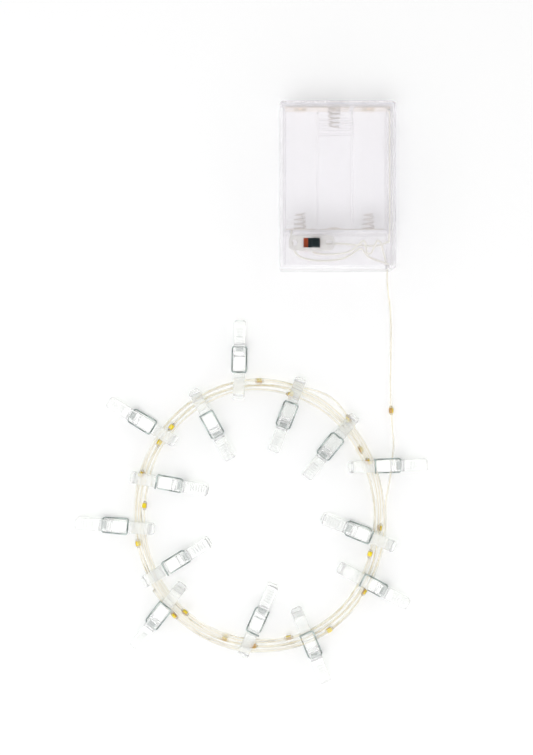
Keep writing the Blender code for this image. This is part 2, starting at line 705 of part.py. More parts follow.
def clip_rest():
    """Gives the tilt of a peg that lies on its lower lever, and the height of its axis."""
    profile = [(x + share * lever_corner(x), z) for x, z in lever_outline() for share in (0, 1)]
    lowest = [(x, z) for x, z in profile if x < 0] + [(BAR_FROM_TIP - AXIS_FROM_TIP, BAR_Z + CLIP_WIRE / 2)]
    handle = max(profile, key=lambda point: (point[1], -point[0]))
    tilt = min(math.atan2(handle[1] - z, handle[0] - x) for x, z in lowest)
    height = handle[1] * math.cos(tilt) - handle[0] * math.sin(tilt)
    return tilt, height


def lever_mesh(material):
    """Makes the lever's mesh: its side view lofted across the width, with a thumb channel in the handle."""
    outline = lever_outline()
    half = CLIP_WIDTH / 2
    sections = ((-half, 1.0), (CORNER_ROUND - half, 0.0), (half - CORNER_ROUND, 0.0), (half, 1.0))
    bm = bmesh.new()
    rings = []
    for y, share in sections:
        rings.append([bm.verts.new((x + share * lever_corner(x), y, z)) for x, z in outline])
    for near, far in zip(rings, rings[1:]):
        for i in range(len(outline)):
            bm.faces.new((near[i - 1], near[i], far[i], far[i - 1]))
    bm.faces.new(rings[0])
    bm.faces.new(rings[-1])
    lever = place("lever_blank", mesh_from(bm, "lever_blank"), material)

    rise = (HANDLE_HEIGHT - BACK_HEIGHT) / (CLIP_LENGTH - HANDLE_ROUND - AXIS_FROM_TIP)
    start = CHANNEL_FROM_AXIS
    end = start + CHANNEL_LENGTH
    channel = [
        (start, BACK_HEIGHT + start * rise - CHANNEL_DEPTH),
        (end, BACK_HEIGHT + end * rise - CHANNEL_DEPTH),
        (end, BACK_HEIGHT + end * rise + OVERRUN),
        (start, BACK_HEIGHT + start * rise + OVERRUN),
    ]
    cutter = prism("lever_channel", channel, -CHANNEL_WIDTH / 2, CHANNEL_WIDTH / 2, axis="Y")
    boolean(lever, cutter, "DIFFERENCE")
    shaped = lever.evaluated_get(bpy.context.evaluated_depsgraph_get())
    mesh = bpy.data.meshes.new_from_object(shaped)
    mesh.name = "lever_shape"
    bpy.data.objects.remove(lever)
    bpy.data.objects.remove(cutter)
    return mesh


def clip_spring_curve():
    """Gives the peg spring's points: lower bar and leg, open coil along the axis, upper leg and bar."""
    turns = CLIP_COIL_TURNS
    steps = round(turns * CURL_POINTS)
    coil = []
    for i in range(steps + 1):
        angle = -math.pi / 2 + 2 * math.pi * turns * i / steps
        y = -LEG_Y + 2 * LEG_Y * i / steps
        coil.append((CLIP_COIL_RADIUS * math.cos(angle), y, CLIP_COIL_RADIUS * math.sin(angle)))
    bar_x = BAR_FROM_TIP - AXIS_FROM_TIP
    bend = CLIP_LEG_BEND
    lower = [(bar_x, LEG_Y, -BAR_Z), (bar_x, -LEG_Y + bend, -BAR_Z), (bar_x + bend, -LEG_Y, -BAR_Z)]
    upper = [(bar_x + bend, LEG_Y, BAR_Z), (bar_x, LEG_Y - bend, BAR_Z), (bar_x, -LEG_Y, BAR_Z)]
    return lower + coil + upper


def ring_radius(angle):
    """Gives the middle radius of the ring at an angle: an oval with one fuller side."""
    oval = RING_HALF_WIDTH * RING_HALF_LENGTH / math.hypot(
        RING_HALF_LENGTH * math.cos(angle), RING_HALF_WIDTH * math.sin(angle)
    )
    return oval + RING_BULGE * max(0.0, math.cos(angle - RING_BULGE_AT)) ** RING_BULGE_POWER


def ring_middle(angle):
    """Gives the middle of the ring's bundle at an angle, in plan."""
    radius = ring_radius(angle)
    return Vector((RING_X + radius * math.cos(angle), RING_Y + radius * math.sin(angle)))


def ring_height():
    """Gives the height of the bundle's middle: that of the pegs' throats, halfway along the grips."""
    tilt, height = clip_rest()
    shares = [row[3] for row in CLIP_SHARES]
    share = (min(shares) + max(shares)) / 2
    return height - AXIS_FROM_TIP * (1 - share) * math.sin(tilt)


def ring_point(turn):
    """Gives the wire's middle after a number of turns: in on the lower layer, out on the upper one."""
    angle = -2 * math.pi * turn
    half = RING_TURNS / 2
    offset = TURN_PITCH * (abs(turn - half) - half / 2)
    loose = (turn - LOOSE_TURN) / LOOSE_SPAN
    if abs(loose) < 1:
        offset += LOOSE_RISE * math.cos(math.pi / 2 * loose) ** 2
    climb = min(1.0, max(0.0, (turn - half) / CLIMB_TURNS + 0.5))
    lift = climb * climb * (3 - 2 * climb) - 0.5
    radius = ring_radius(angle) + offset
    return Vector((
        RING_X + radius * math.cos(angle),
        RING_Y + radius * math.sin(angle),
        ring_height() + LAYER_PITCH * lift,
    ))


def beaded(line, drops):
    """Gives a line's points and its thickness at each, with a swelling at each LED drop along it."""
    run = [0.0]
    for a, b in zip(line, line[1:]):
        run.append(run[-1] + (b - a).length)
    marks = [drop + share * DROP_LENGTH for drop in drops for share in (-0.5, 0, 0.5)]
    marks += [at for at in run if all(abs(at - mark) > CORD / 2 for mark in marks)]
    marks = sorted(mark for mark in marks if mark <= run[-1])
    points, swell = [], []
    for mark in marks:
        i = min(bisect.bisect_right(run, mark), len(run) - 1) - 1
        share = (mark - run[i]) / (run[i + 1] - run[i])
        points.append(line[i].lerp(line[i + 1], share))
        away = min(abs(mark - drop) for drop in drops) / (DROP_LENGTH / 2)
        swell.append(1 + (DROP / CORD - 1) * max(0.0, 1 - away))
    return points, swell


def ring_run(turn):
    """Measures the wire on the ring up to a number of turns."""
    steps = math.floor(turn * LOOP_POINTS)
    line = [ring_point(i / LOOP_POINTS) for i in range(steps + 1)] + [ring_point(turn)]
    return sum((b - a).length for a, b in zip(line, line[1:]))


def ring_points():
    """Gives the ring's points, the first two straight on from the lead, and its thickness at each."""
    steps = math.floor(RING_TURNS * LOOP_POINTS)
    turns = [i / LOOP_POINTS for i in range(steps + 1)] + [RING_TURNS]
    line = [ring_point(turn) for turn in turns]
    line.insert(1, line[0] - Vector((0, CORD, 0)))
    return beaded(line, [ring_run(turn) for turn in DROP_TURNS])


def least_gap(points, swell):
    """Measures the least gap of the wound wire to itself, between points over half a turn apart."""
    least = math.inf
    apart = round(LOOP_POINTS / 2)
    for i, first in enumerate(points):
        for j in range(i + apart, len(points) - 1):
            second, after = points[j], points[j + 1]
            run = after - second
            share = min(1.0, max(0.0, (first - second).dot(run) / run.length_squared))
            thick = CORD / 2 * (swell[i] + swell[j] + (swell[j + 1] - swell[j]) * share)
            least = min(least, (first - second - run * share).length - thick)
    return least


def build_cord(material):
    """Makes the ring of twin wire and the lead that joins it to the case."""
    points, swell = ring_points()
    tube("cord_ring", points, CORD, material, swell=swell)
    print(f"least gap of the ring to itself {least_gap(points, swell) / MM:.2f} mm")
    first = ring_point(0)
    start = Vector((EXIT_X, FRONT_Y - GAP / 2, EXIT_HEIGHT))
    joint = first + Vector((0, GAP, 0))
    straight = joint + Vector((0, CORD, 0))
    route = [start] + [Vector(p) * MM for p in LEAD_ROUTE] + [straight]
    lead = smooth_route(route, 2 * CORD) + [joint]
    length = sum((b - a).length for a, b in zip(lead, lead[1:]))
    points, swell = beaded(lead, [length - DROP_BEFORE_RING])
    tube("cord_lead", points, CORD, material, resolution=2, swell=swell)


def build_clips(plastic, steel):
    """Makes the pegs on the ring, each of two levers and a spring on one axis."""
    tilt, height = clip_rest()
    lever = lever_mesh(plastic)
    spring_curve = None
    for number, (degrees, lean, outward, grip) in enumerate(CLIP_SHARES, start=1):
        angle = math.radians(degrees)
        ahead = ring_middle(angle + TANGENT_ARC)
        behind = ring_middle(angle - TANGENT_ARC)
        tangent = math.atan2(ahead.y - behind.y, ahead.x - behind.x)
        heading = tangent - math.pi / 2 + math.radians(lean) + (0 if outward else math.pi)
        reach = AXIS_FROM_TIP * (1 - grip)
        middle = ring_middle(angle)
        hub = bpy.data.objects.new(f"clip_{number:02d}_axis", None)
        hub.location = (
            middle.x + reach * math.cos(heading), middle.y + reach * math.sin(heading), height,
        )
        hub.rotation_euler = (0, -tilt, heading)
        bpy.context.scene.collection.objects.link(hub)
        place(f"clip_{number:02d}_upper_lever", lever, plastic).parent = hub
        lower = place(f"clip_{number:02d}_lower_lever", lever, plastic)
        lower.rotation_euler = (math.pi, 0, 0)
        lower.parent = hub
        name = f"clip_{number:02d}_spring"
        if spring_curve is None:
            spring = tube(name, clip_spring_curve(), CLIP_WIRE, steel)
            spring_curve = spring.data
        else:
            spring = place(name, spring_curve, steel)
        spring.parent = hub


def main():
    """Builds the whole part."""
    remove_all()
    clear = finish_of("clear_polystyrene", (0.90, 0.90, 0.95), 0.08, alpha=0.45)
    peg_clear = finish_of("clear_peg_plastic", (0.95, 0.96, 0.97), 0.12, alpha=0.5)
    steel = finish_of("spring_steel", (0.18, 0.19, 0.19), 0.35, metallic=1.0)
    nickel = finish_of("nickelled_contact", (0.55, 0.50, 0.45), 0.3, metallic=1.0)
    sheet = finish_of("zinc_plated_sheet", (0.50, 0.50, 0.50), 0.4, metallic=1.0)
    board = finish_of("brown_phenolic_board", (0.30, 0.12, 0.05), 0.6)
    black = finish_of("black_knob_plastic", (0.01, 0.01, 0.01), 0.4)
    wire = finish_of("champagne_twin_wire", (0.80, 0.74, 0.56), 0.3)
    build_tray(clear)
    build_cover(clear)
    build_contacts(nickel)
    build_battery_spring("battery_spring_left", CELL_X[0], False, nickel)
    build_battery_spring("battery_spring_middle", CELL_X[1], True, nickel)
    build_battery_spring("battery_spring_right", CELL_X[2], False, nickel)
    terminal_z = build_switch(sheet, board, black)
    build_inner_wires(wire, terminal_z)
    build_cord(wire)
    build_clips(peg_clear, steel)


main()
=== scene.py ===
"""Looks of a photo display string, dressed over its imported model.

A clear battery case with a slide switch, a twin wire with LED drops wound in a ring, and clear spring
pegs gripping the ring. Everything is in metres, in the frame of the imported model.
"""

from __future__ import annotations

import json
import logging
import math
from dataclasses import dataclass
from enum import Enum

import bmesh
import bpy
from mathutils import Matrix, Vector

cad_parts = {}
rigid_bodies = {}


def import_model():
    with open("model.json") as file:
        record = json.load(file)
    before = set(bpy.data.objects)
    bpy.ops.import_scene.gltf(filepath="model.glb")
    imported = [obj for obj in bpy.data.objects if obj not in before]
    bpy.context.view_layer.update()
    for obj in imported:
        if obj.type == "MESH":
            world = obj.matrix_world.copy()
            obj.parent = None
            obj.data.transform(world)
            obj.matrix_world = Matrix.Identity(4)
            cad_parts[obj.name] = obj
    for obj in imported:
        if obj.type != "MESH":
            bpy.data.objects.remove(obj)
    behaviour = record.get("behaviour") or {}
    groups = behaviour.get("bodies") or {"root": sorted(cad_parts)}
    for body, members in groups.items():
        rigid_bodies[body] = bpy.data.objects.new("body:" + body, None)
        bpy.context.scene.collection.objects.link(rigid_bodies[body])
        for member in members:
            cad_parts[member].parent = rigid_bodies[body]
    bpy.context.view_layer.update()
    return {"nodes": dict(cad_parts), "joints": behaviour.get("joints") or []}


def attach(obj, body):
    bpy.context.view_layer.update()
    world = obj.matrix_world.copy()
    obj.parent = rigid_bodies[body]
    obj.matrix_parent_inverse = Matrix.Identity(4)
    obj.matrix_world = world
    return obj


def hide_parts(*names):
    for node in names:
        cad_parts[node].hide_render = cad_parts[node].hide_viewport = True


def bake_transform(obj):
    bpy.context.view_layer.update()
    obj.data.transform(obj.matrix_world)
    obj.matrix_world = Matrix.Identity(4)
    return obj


LOG = logging.getLogger("photo_display_string")
MM = 0.001
Pair = tuple[float, float]
Triple = tuple[float, float, float]
UP = Vector((0, 0, 1))
BACK = Vector((0, 1, 0))
SOFT_EDGE_ANGLE = math.radians(40)
SOFT_EDGE_SEGMENTS = 2
ROUND_PROFILE = 0.5
COIL_STEPS_PER_TURN = 20

# The Mix node's sockets share their names, so they are reached by number.
MIX_SHARE = 0
NUMBER_A, NUMBER_B = 2, 3
COLOUR_A, COLOUR_B = 6, 7
MIXED_NUMBER, MIXED_COLOUR = 0, 2


# Nodes and finishes


def linear(code: str) -> tuple[float, float, float, float]:
    """Turns an sRGB hex value into a linear colour.

    Args:
        code: The colour as six hex digits.

    Returns:
        Red, green, blue and an alpha of 1.
    """
    shares = [int(code[i:i + 2], 16) / 255 for i in (0, 2, 4)]
    red, green, blue = (c / 12.92 if c <= 0.04045 else ((c + 0.055) / 1.055) ** 2.4 for c in shares)
    return red, green, blue, 1.0


def add_node(tree: bpy.types.NodeTree, kind: str, inputs: dict | None = None,
             links: dict | None = None, **settings: object) -> bpy.types.Node:
    """Adds one node with its settings, values and links.

    Args:
        tree: The node tree that gets the node.
        kind: The node's type name.
        inputs: Values for its input sockets, by name or number.
        links: Output sockets that feed its input sockets, by name or number.
        **settings: Properties of the node itself.

    Returns:
        The new node.
    """
    node = tree.nodes.new(kind)
    for key, value in settings.items():
        setattr(node, key, value)
    for key, value in (inputs or {}).items():
        node.inputs[key].default_value = value
    for key, source in (links or {}).items():
        tree.links.new(source, node.inputs[key])
    return node


class Marks(Enum):
    """How the small marks of a surface are laid."""

    CLOUDED = "ShaderNodeTexNoise"
    CRYSTALS = "ShaderNodeTexVoronoi"


@dataclass(frozen=True)
class Finish:
    """One material: what it is made of, its two close colours and the marks on its surface."""

    name: str
    colour: str
    second: str
    roughness: float
    spread: float
    grain_mm: float
    bump_mm: float
    marks: Marks = Marks.CLOUDED
    stretch: Triple = (1.0, 1.0, 1.0)
    metallic: float = 0.0
    ior: float = 1.5
    clear: float = 0.0
    shade: str = "FFFFFF"

    def material(self) -> bpy.types.Material:
        """Gives the finish's material, made once."""
        return bpy.data.materials.get(self.name) or self._make()

    def _make(self) -> bpy.types.Material:
        """Builds the nodes: marks that sway colour and roughness and raise a fine relief.

        Returns:
            The new material.
        """
        material = bpy.data.materials.new(self.name)
        material.use_nodes = True
        tree = material.node_tree
        tree.nodes.clear()
        place = add_node(tree, "ShaderNodeTexCoord")
        laid = add_node(tree, "ShaderNodeMapping", inputs={"Scale": self.stretch},
                        links={"Vector": place.outputs["Object"]})
        marks = add_node(tree, self.marks.value, inputs={"Scale": 1 / (self.grain_mm * MM)},
                         links={"Vector": laid.outputs["Vector"]})
        height = marks.outputs[0]
        colour = add_node(tree, "ShaderNodeMix",
                          inputs={COLOUR_A: linear(self.colour), COLOUR_B: linear(self.second)},
                          links={MIX_SHARE: height}, data_type="RGBA")
        sway = add_node(tree, "ShaderNodeMapRange",
                        inputs={"To Min": self.roughness - self.spread,
                                "To Max": self.roughness + self.spread},
                        links={"Value": height})
        relief = add_node(tree, "ShaderNodeBump", inputs={"Strength": 1.0, "Distance": self.bump_mm * MM},
                          links={"Height": height})
        shader = add_node(
            tree, "ShaderNodeBsdfPrincipled",
            inputs={"Metallic": self.metallic, "IOR": self.ior, "Transmission Weight": self.clear},
            links={"Base Color": colour.outputs[MIXED_COLOUR], "Roughness": sway.outputs["Result"],
                   "Normal": relief.outputs["Normal"]},
        )
        surface = shader.outputs[0]
        if self.clear:
            surface = self._let_lamps_through(tree, surface)
        add_node(tree, "ShaderNodeOutputMaterial", links={"Surface": surface})
        material.diffuse_color = linear(self.colour)
        return material

    def _let_lamps_through(self, tree: bpy.types.NodeTree,
                           surface: bpy.types.NodeSocket) -> bpy.types.NodeSocket:
        """Lets lamp light pass a clear piece, dimmed by its shade colour.

        Args:
            tree: The material's node tree.
            surface: The shader of the clear piece itself.

        Returns:
            The socket of the mixed shader.
        """
        path = add_node(tree, "ShaderNodeLightPath")
        passing = add_node(tree, "ShaderNodeBsdfTransparent", inputs={"Color": linear(self.shade)})
        both = add_node(tree, "ShaderNodeMixShader",
                        links={0: path.outputs["Is Shadow Ray"], 1: surface, 2: passing.outputs[0]})
        return both.outputs[0]


# Grain sizes are in millimetres on the object. Drawing marks, moulding grain, paper fibres, lacquer and
# phosphor are finer than the picture can show, so they are drawn coarser, at about 0.2 to 0.6 mm.

# General-purpose polystyrene, injection moulded: glass-clear and neutral, with broad soft flow marks. The
# index is under the plastic's own 1.59, because these solid walls darken more than the photographed ones.
CASE_PLASTIC = Finish("polystyrene_clear_moulded", "FBFAFB", "FDFCFD", roughness=0.06, spread=0.02,
                      grain_mm=9.0, bump_mm=0.004, ior=1.45, clear=0.76, shade="FCFCFD")
# Polycarbonate, injection moulded: water-clear, with soft flow marks that bend the highlights a little.
PEG_PLASTIC = Finish("polycarbonate_clear_moulded", "FDFDFD", "FEFEFE", roughness=0.025, spread=0.01,
                     grain_mm=4.0, bump_mm=0.002, ior=1.585, clear=0.84, shade="F3F5F2")
# Carbon spring steel, drawn bright: it mirrors the pale room, cool grey-green, with a narrow shine along it.
PEG_STEEL = Finish("spring_steel_drawn", "CAD4D0", "A2AEAA", roughness=0.12, spread=0.04,
                   grain_mm=0.35, bump_mm=0.003, metallic=1.0)
# Spring wire, nickel-plated: a soft shine in a warm pale grey.
CELL_STEEL = Finish("spring_wire_nickelled", "D8D1CA", "BEB5AC", roughness=0.28, spread=0.08,
                    grain_mm=0.4, bump_mm=0.003, metallic=1.0)
# Strip steel, rolled and nickel-plated: cream in the pale room, with rolling lines drawn out along the strip.
STRIP = Finish("strip_steel_nickelled_rolled", "F6EBDD", "E9DAC6", roughness=0.16, spread=0.06,
               grain_mm=0.6, bump_mm=0.003, stretch=(0.12, 1.0, 1.0), metallic=1.0)
# Sheet steel, zinc-plated and stamped: a pale warm grey with the crystals of the coat.
SHEET = Finish("sheet_steel_zinc_plated", "DDDAD4", "D0CDC7", roughness=0.34, spread=0.10,
               grain_mm=0.9, bump_mm=0.003, marks=Marks.CRYSTALS, metallic=1.0)
# Phenolic paper board, punched: orange-red with slightly paler paper fibres.
BOARD = Finish("phenolic_paper_board", "CC4A18", "E0662C", roughness=0.55, spread=0.10,
               grain_mm=0.5, bump_mm=0.01, stretch=(0.25, 1.0, 1.0))
# ABS, moulded black: a low sheen with the fine grain of a spark-eroded mould.
KNOB_PLASTIC = Finish("abs_moulded_black", "151D1F", "1F3034", roughness=0.20, spread=0.06,
                      grain_mm=0.18, bump_mm=0.004)
# Plasticised PVC, extruded clear: a thin wet-looking skin through which the strands show. The index is under
# the compound's own 1.53, so that the skin bends as little light as the photographed one.
WIRE_PVC = Finish("pvc_extruded_clear_cream", "FFFFFC", "FFFFFE", roughness=0.04, spread=0.02,
                  grain_mm=1.2, bump_mm=0.004, ior=1.30, clear=0.90, shade="FFFFFD")
# Copper strands, lacquered: a golden thread inside the insulation, browner where the lacquer is thick.
STRANDS = Finish("copper_strands_lacquered", "DBC477", "A68F48", roughness=0.35, spread=0.12,
                 grain_mm=0.25, bump_mm=0.01, metallic=1.0)
# PVC with white filler, extruded over the short wires of the case: milky, so that no copper shows.
HOOKUP_PVC = Finish("pvc_extruded_milky", "E9E4D2", "F2EEDF", roughness=0.35, spread=0.08,
                    grain_mm=1.0, bump_mm=0.006)
# Epoxy, cast in drops round the chips: water-clear and glossy.
DROP_EPOXY = Finish("epoxy_cast_clear", "FFFFFD", "FFFFFF", roughness=0.05, spread=0.02,
                    grain_mm=1.5, bump_mm=0.004, ior=1.42, clear=1.0, shade="FFFEFA")
# Phosphor in silicone, dispensed over the diode: matt, warm yellow and even.
PHOSPHOR = Finish("phosphor_silicone_yellow", "FFEC00", "FFE200", roughness=0.50, spread=0.05,
                  grain_mm=0.3, bump_mm=0.004, ior=1.41)
# Glass-epoxy laminate, sawn: the small golden-brown carrier under the diode, matt at its cut sides.
CARRIER = Finish("glass_epoxy_laminate_sawn", "D8AE62", "BE9250", roughness=0.45, spread=0.08,
                 grain_mm=0.3, bump_mm=0.006)
# Tin solder, frozen in a blob: bright, with a slightly rippled skin.
SOLDER = Finish("solder_tin_frozen", "C9CBCD", "A9ACAF", roughness=0.22, spread=0.10,
                grain_mm=0.35, bump_mm=0.012, metallic=1.0)


# Mesh helpers


def link_object(name: str, data: bpy.types.ID) -> bpy.types.Object:
    """Puts a new object into the scene.

    Args:
        name: The object's name.
        data: What it holds: a mesh, a camera or a lamp.

    Returns:
        The new object.
    """
    thing = bpy.data.objects.new(name, data)
    bpy.context.scene.collection.objects.link(thing)
    return thing


def add_object(name: str, bm: bmesh.types.BMesh, finish: Finish) -> bpy.types.Object:
    """Turns a bmesh into a dressed object.

    Args:
        name: The piece's name.
        bm: Its mesh, freed here.
        finish: Its finish.

    Returns:
        The new object.
    """
    bmesh.ops.recalc_face_normals(bm, faces=bm.faces)
    mesh = bpy.data.meshes.new(name)
    bm.to_mesh(mesh)
    bm.free()
    mesh.shade_smooth()
    mesh.materials.append(finish.material())
    thing = link_object(name, mesh)
    LOG.info("made %s", name)
    return thing


def soften(thing: bpy.types.Object, width: float) -> None:
    """Rounds an object's sharp edges a little, and keeps its flats flat.

    Args:
        thing: The object that gets the modifiers.
        width: The rounded edges' width.
    """
    soft = thing.modifiers.new("soft_edges", "BEVEL")
    soft.width = width
    soft.segments = SOFT_EDGE_SEGMENTS
    soft.limit_method = "ANGLE"
    soft.angle_limit = SOFT_EDGE_ANGLE
    soft.use_clamp_overlap = True
    thing.modifiers.new("flat_faces", "WEIGHTED_NORMAL").keep_sharp = True


def settle(thing: bpy.types.Object) -> None:
    """Writes an object's modifiers into its mesh.

    Args:
        thing: The object whose modifiers are written in and taken off.
    """
    shaped = thing.evaluated_get(bpy.context.evaluated_depsgraph_get())
    mesh = bpy.data.meshes.new_from_object(shaped)
    thing.modifiers.clear()
    thing.data = mesh


def round_section(radius: float, sides: int) -> list[Pair]:
    """Gives a round section's points.

    Args:
        radius: The section's radius.
        sides: How many points it has.

    Returns:
        The points, across and up.
    """
    return [(radius * math.cos(2 * math.pi * i / sides), radius * math.sin(2 * math.pi * i / sides))
            for i in range(sides)]


def carried_frames(points: list[Vector], up: Vector) -> list[tuple[Vector, Vector]]:
    """Carries an upright direction along a line without needless turning.

    Args:
        points: The line's points.
        up: The upright direction at its start.

    Returns:
        For each point, the directions across and up.
    """
    frames = []
    for i, point in enumerate(points):
        ahead = points[min(i + 1, len(points) - 1)] - points[max(i - 1, 0)]
        along = ahead.normalized()
        across = along.cross(up).normalized()
        up = across.cross(along).normalized()
        frames.append((across, up))
    return frames


def sweep(bm: bmesh.types.BMesh, points: list[Vector], section: list[Pair], up: Vector = UP,
          twist: list[float] | None = None, offset: Pair = (0.0, 0.0)) -> None:
    """Draws a closed skin along a line.

    Args:
        bm: The mesh that gets the skin.
        points: The line's points.
        section: The section's points, across and up.
        up: The upright direction at the line's start.
        twist: The section's turn at each point, in radians.
        offset: The section's middle, across and up, turned with it.
    """
    rings = []
    for i, (across, upright) in enumerate(carried_frames(points, up)):
        turn = twist[i] if twist else 0.0
        ring = []
        for u, v in section:
            a, b = u + offset[0], v + offset[1]
            x = a * math.cos(turn) - b * math.sin(turn)
            y = a * math.sin(turn) + b * math.cos(turn)
            ring.append(bm.verts.new(points[i] + across * x + upright * y))
        rings.append(ring)
    for near, far in zip(rings, rings[1:]):
        for i in range(len(section)):
            bm.faces.new((near[i - 1], near[i], far[i], far[i - 1]))
    bm.faces.new(rings[0])
    bm.faces.new(rings[-1])


def smooth_line(points: list[Vector], step: float) -> list[Vector]:
    """Draws a smooth curve through points and reads it at an even step.

    Args:
        points: The points it passes.
        step: The distance between the points that it gives.

    Returns:
        The curve's points.
    """
    fewest = 4
    ends = [points[0] * 2 - points[1], *points, points[-1] * 2 - points[-2]]
    fine = []
    for a, b, c, d in zip(ends, ends[1:], ends[2:], ends[3:]):
        count = max(fewest, math.ceil((c - b).length / step) * 2)
        for i in range(count):
            t = i / count
            fine.append((b * 2 + (c - a) * t + (a * 2 - b * 5 + c * 4 - d) * t * t
                         + (b * 3 - a - c * 3 + d) * t * t * t) / 2)
    fine.append(points[-1])
    spaced = [fine[0]]
    for point in fine[1:-1]:
        if (point - spaced[-1]).length >= step and (point - fine[-1]).length >= step / 2:
            spaced.append(point)
    return spaced + [fine[-1]]


# Wound wire


@dataclass
class WoundWire:
    """The twin wire with its LED drops: a lead from the case, then the wound ring."""

    width: float = 1.4 * MM
    core: float = 0.15 * MM
    web: float = 0.27 * MM
    strand: float = 0.055 * MM
    exit_point: Triple = (22.6 * MM, -34.75 * MM, 4.2 * MM)
    centre: Pair = (-34.5 * MM, -143.8 * MM)
    half_width: float = 53.3 * MM
    half_length: float = 57.8 * MM
    bulge: float = 1.8 * MM
    bulge_at: float = math.radians(-50)
    bulge_power: int = 4
    turns: float = 5.4
    climb_turns: float = 0.5
    turn_pitch: float = 2.05 * MM
    layer_pitch: float = 2.0 * MM
    loose_turn: float = 4.84
    loose_span: float = 0.05
    loose_rise: float = 3.0 * MM
    wander: float = 0.28 * MM
    wander_waves: tuple[Pair, ...] = ((21.7, 0.0), (46.3, 1.0))
    twist_waves: tuple[Triple, ...] = ((0.55, 13.0 * MM, 0.0), (0.4, 4.7 * MM, 1.0))
    height: float = 3.6646 * MM
    ring_steps: int = 150
    aim_step: float = 0.002
    lead_step: float = 1.6 * MM
    lead_straight: float = 1.7 * MM
    skin_sides: int = 14
    strand_sides: int = 5
    drop_before_ring: float = 44.7 * MM
    drop_length: float = 4.2 * MM
    drop_width: float = 2.3 * MM
    drop_segments: tuple[int, int] = (16, 10)
    chip_size: Triple = (1.9 * MM, 1.5 * MM, 0.45 * MM)
    chip_rise: float = 0.25 * MM
    carrier_size: Triple = (2.2 * MM, 1.6 * MM, 0.40 * MM)
    carrier_rise: float = -0.15 * MM
    chip_edge: float = 0.12 * MM
    chip_edge_segments: int = 3
    chip_rolls: tuple[int, ...] = (
        125, 10, -15, 75, 100, -80, 5, 95, -100, 35, 80, -10, -85, 15, 100, 170, 90, -95, 85, 70,
    )
    drop_rest: float = 0.05 * MM
    drop_turns: tuple[float, ...] = (
        0.163, 0.461, 0.751, 1.019, 1.292, 1.599, 1.911, 2.212, 2.511, 2.792, 3.055, 3.352, 3.625, 3.930,
        4.256, 4.552, 4.871, 5.101, 5.360,
    )
    lead_mm: tuple[Triple, ...] = (
        (22.6, -37.6, 4.2), (22.7, -41.0, 2.9), (23.3, -45.5, 1.3), (24.1, -52.0, 0.76),
        (24.6, -62.0, 0.76), (24.5, -74.0, 0.76), (24.3, -86.0, 0.92), (24.6, -97.9, 0.95),
        (25.2, -106.0, 1.1), (25.6, -112.6, 2.1), (25.1, -118.0, 3.7), (24.6, -122.5, 4.02),
        (24.1, -127.0, 3.75), (23.2, -132.5, 3.0), (22.2, -138.0, 2.65),
    )

    def ring_point(self, turn: float) -> Vector:
        """Gives the wire's middle after a number of turns.

        Args:
            turn: Turns from where the lead meets the ring.

        Returns:
            The point, in on the lower layer and out on the upper one.
        """
        angle = -2 * math.pi * turn
        oval = self.half_width * self.half_length / math.hypot(
            self.half_length * math.cos(angle), self.half_width * math.sin(angle))
        radius = oval + self.bulge * max(0.0, math.cos(angle - self.bulge_at)) ** self.bulge_power
        half = self.turns / 2
        radius += self.turn_pitch * (abs(turn - half) - half / 2)
        loose = (turn - self.loose_turn) / self.loose_span
        if abs(loose) < 1:
            radius += self.loose_rise * math.cos(math.pi / 2 * loose) ** 2
        waves = sum(math.sin(pace * turn + shift) for pace, shift in self.wander_waves)
        radius += self.wander * waves / len(self.wander_waves)
        climb = min(1.0, max(0.0, (turn - half) / self.climb_turns + 0.5))
        lift = climb * climb * (3 - 2 * climb) - 0.5
        return Vector((self.centre[0] + radius * math.cos(angle), self.centre[1] + radius * math.sin(angle),
                       self.height + self.layer_pitch * lift))

    def lead_points(self) -> list[Vector]:
        """Gives the lead's line, ending where the ring starts.

        Returns:
            The line's points.
        """
        first = self.ring_point(0)
        straight = first + Vector((0, self.lead_straight, 0))
        route = [Vector(self.exit_point)] + [Vector(p) * MM for p in self.lead_mm] + [straight]
        return smooth_line(route, self.lead_step)

    def drop_places(self, lead: list[Vector]) -> list[tuple[Vector, Vector]]:
        """Gives each LED drop's middle and the wire's direction there.

        Args:
            lead: The lead's line.

        Returns:
            Pairs of a point and a direction.
        """
        places = []
        left = self.drop_before_ring
        for a, b in zip(reversed(lead[:-1]), reversed(lead[1:])):
            if left <= (b - a).length:
                places.append((b.lerp(a, left / (b - a).length), (b - a).normalized()))
                break
            left -= (b - a).length
        for turn in self.drop_turns:
            ahead = self.ring_point(turn + self.aim_step) - self.ring_point(turn - self.aim_step)
            places.append((self.ring_point(turn), ahead.normalized()))
        for place, _ in places:
            place.z = max(place.z, self.drop_width / 2 + self.drop_rest)
        return places

    def build(self) -> None:
        lead = self.lead_points()
        ring = [self.ring_point(i / self.ring_steps) for i in range(int(self.turns * self.ring_steps) + 1)]
        line = lead + ring
        run = [0.0]
        for a, b in zip(line, line[1:]):
            run.append(run[-1] + (b - a).length)
        twist = [sum(sway * math.sin(at / length + shift) for sway, length, shift in self.twist_waves)
                 for at in run]
        section = []
        for across, upright in round_section(1.0, self.skin_sides):
            reach = max(self.width * abs(across) / 2, self.web)
            section.append((reach * across, reach * upright))
        bm = bmesh.new()
        sweep(bm, line, section, twist=twist)
        cord = add_object("twin_wire_insulation", bm, WIRE_PVC)
        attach(cord, "root")
        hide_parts("cord_lead", "cord_ring")

        bm = bmesh.new()
        for side in (-1, 1):
            sweep(bm, line, round_section(self.strand, self.strand_sides), twist=twist,
                  offset=(side * self.core, 0.0))
        strands = add_object("twin_wire_strands", bm, STRANDS)
        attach(strands, "root")
        pieces = [strands, *self._build_drops(lead)]
        LOG.info("twin wire: %.2f m with %d LED drops", run[-1], len(self.drop_turns) + 1)

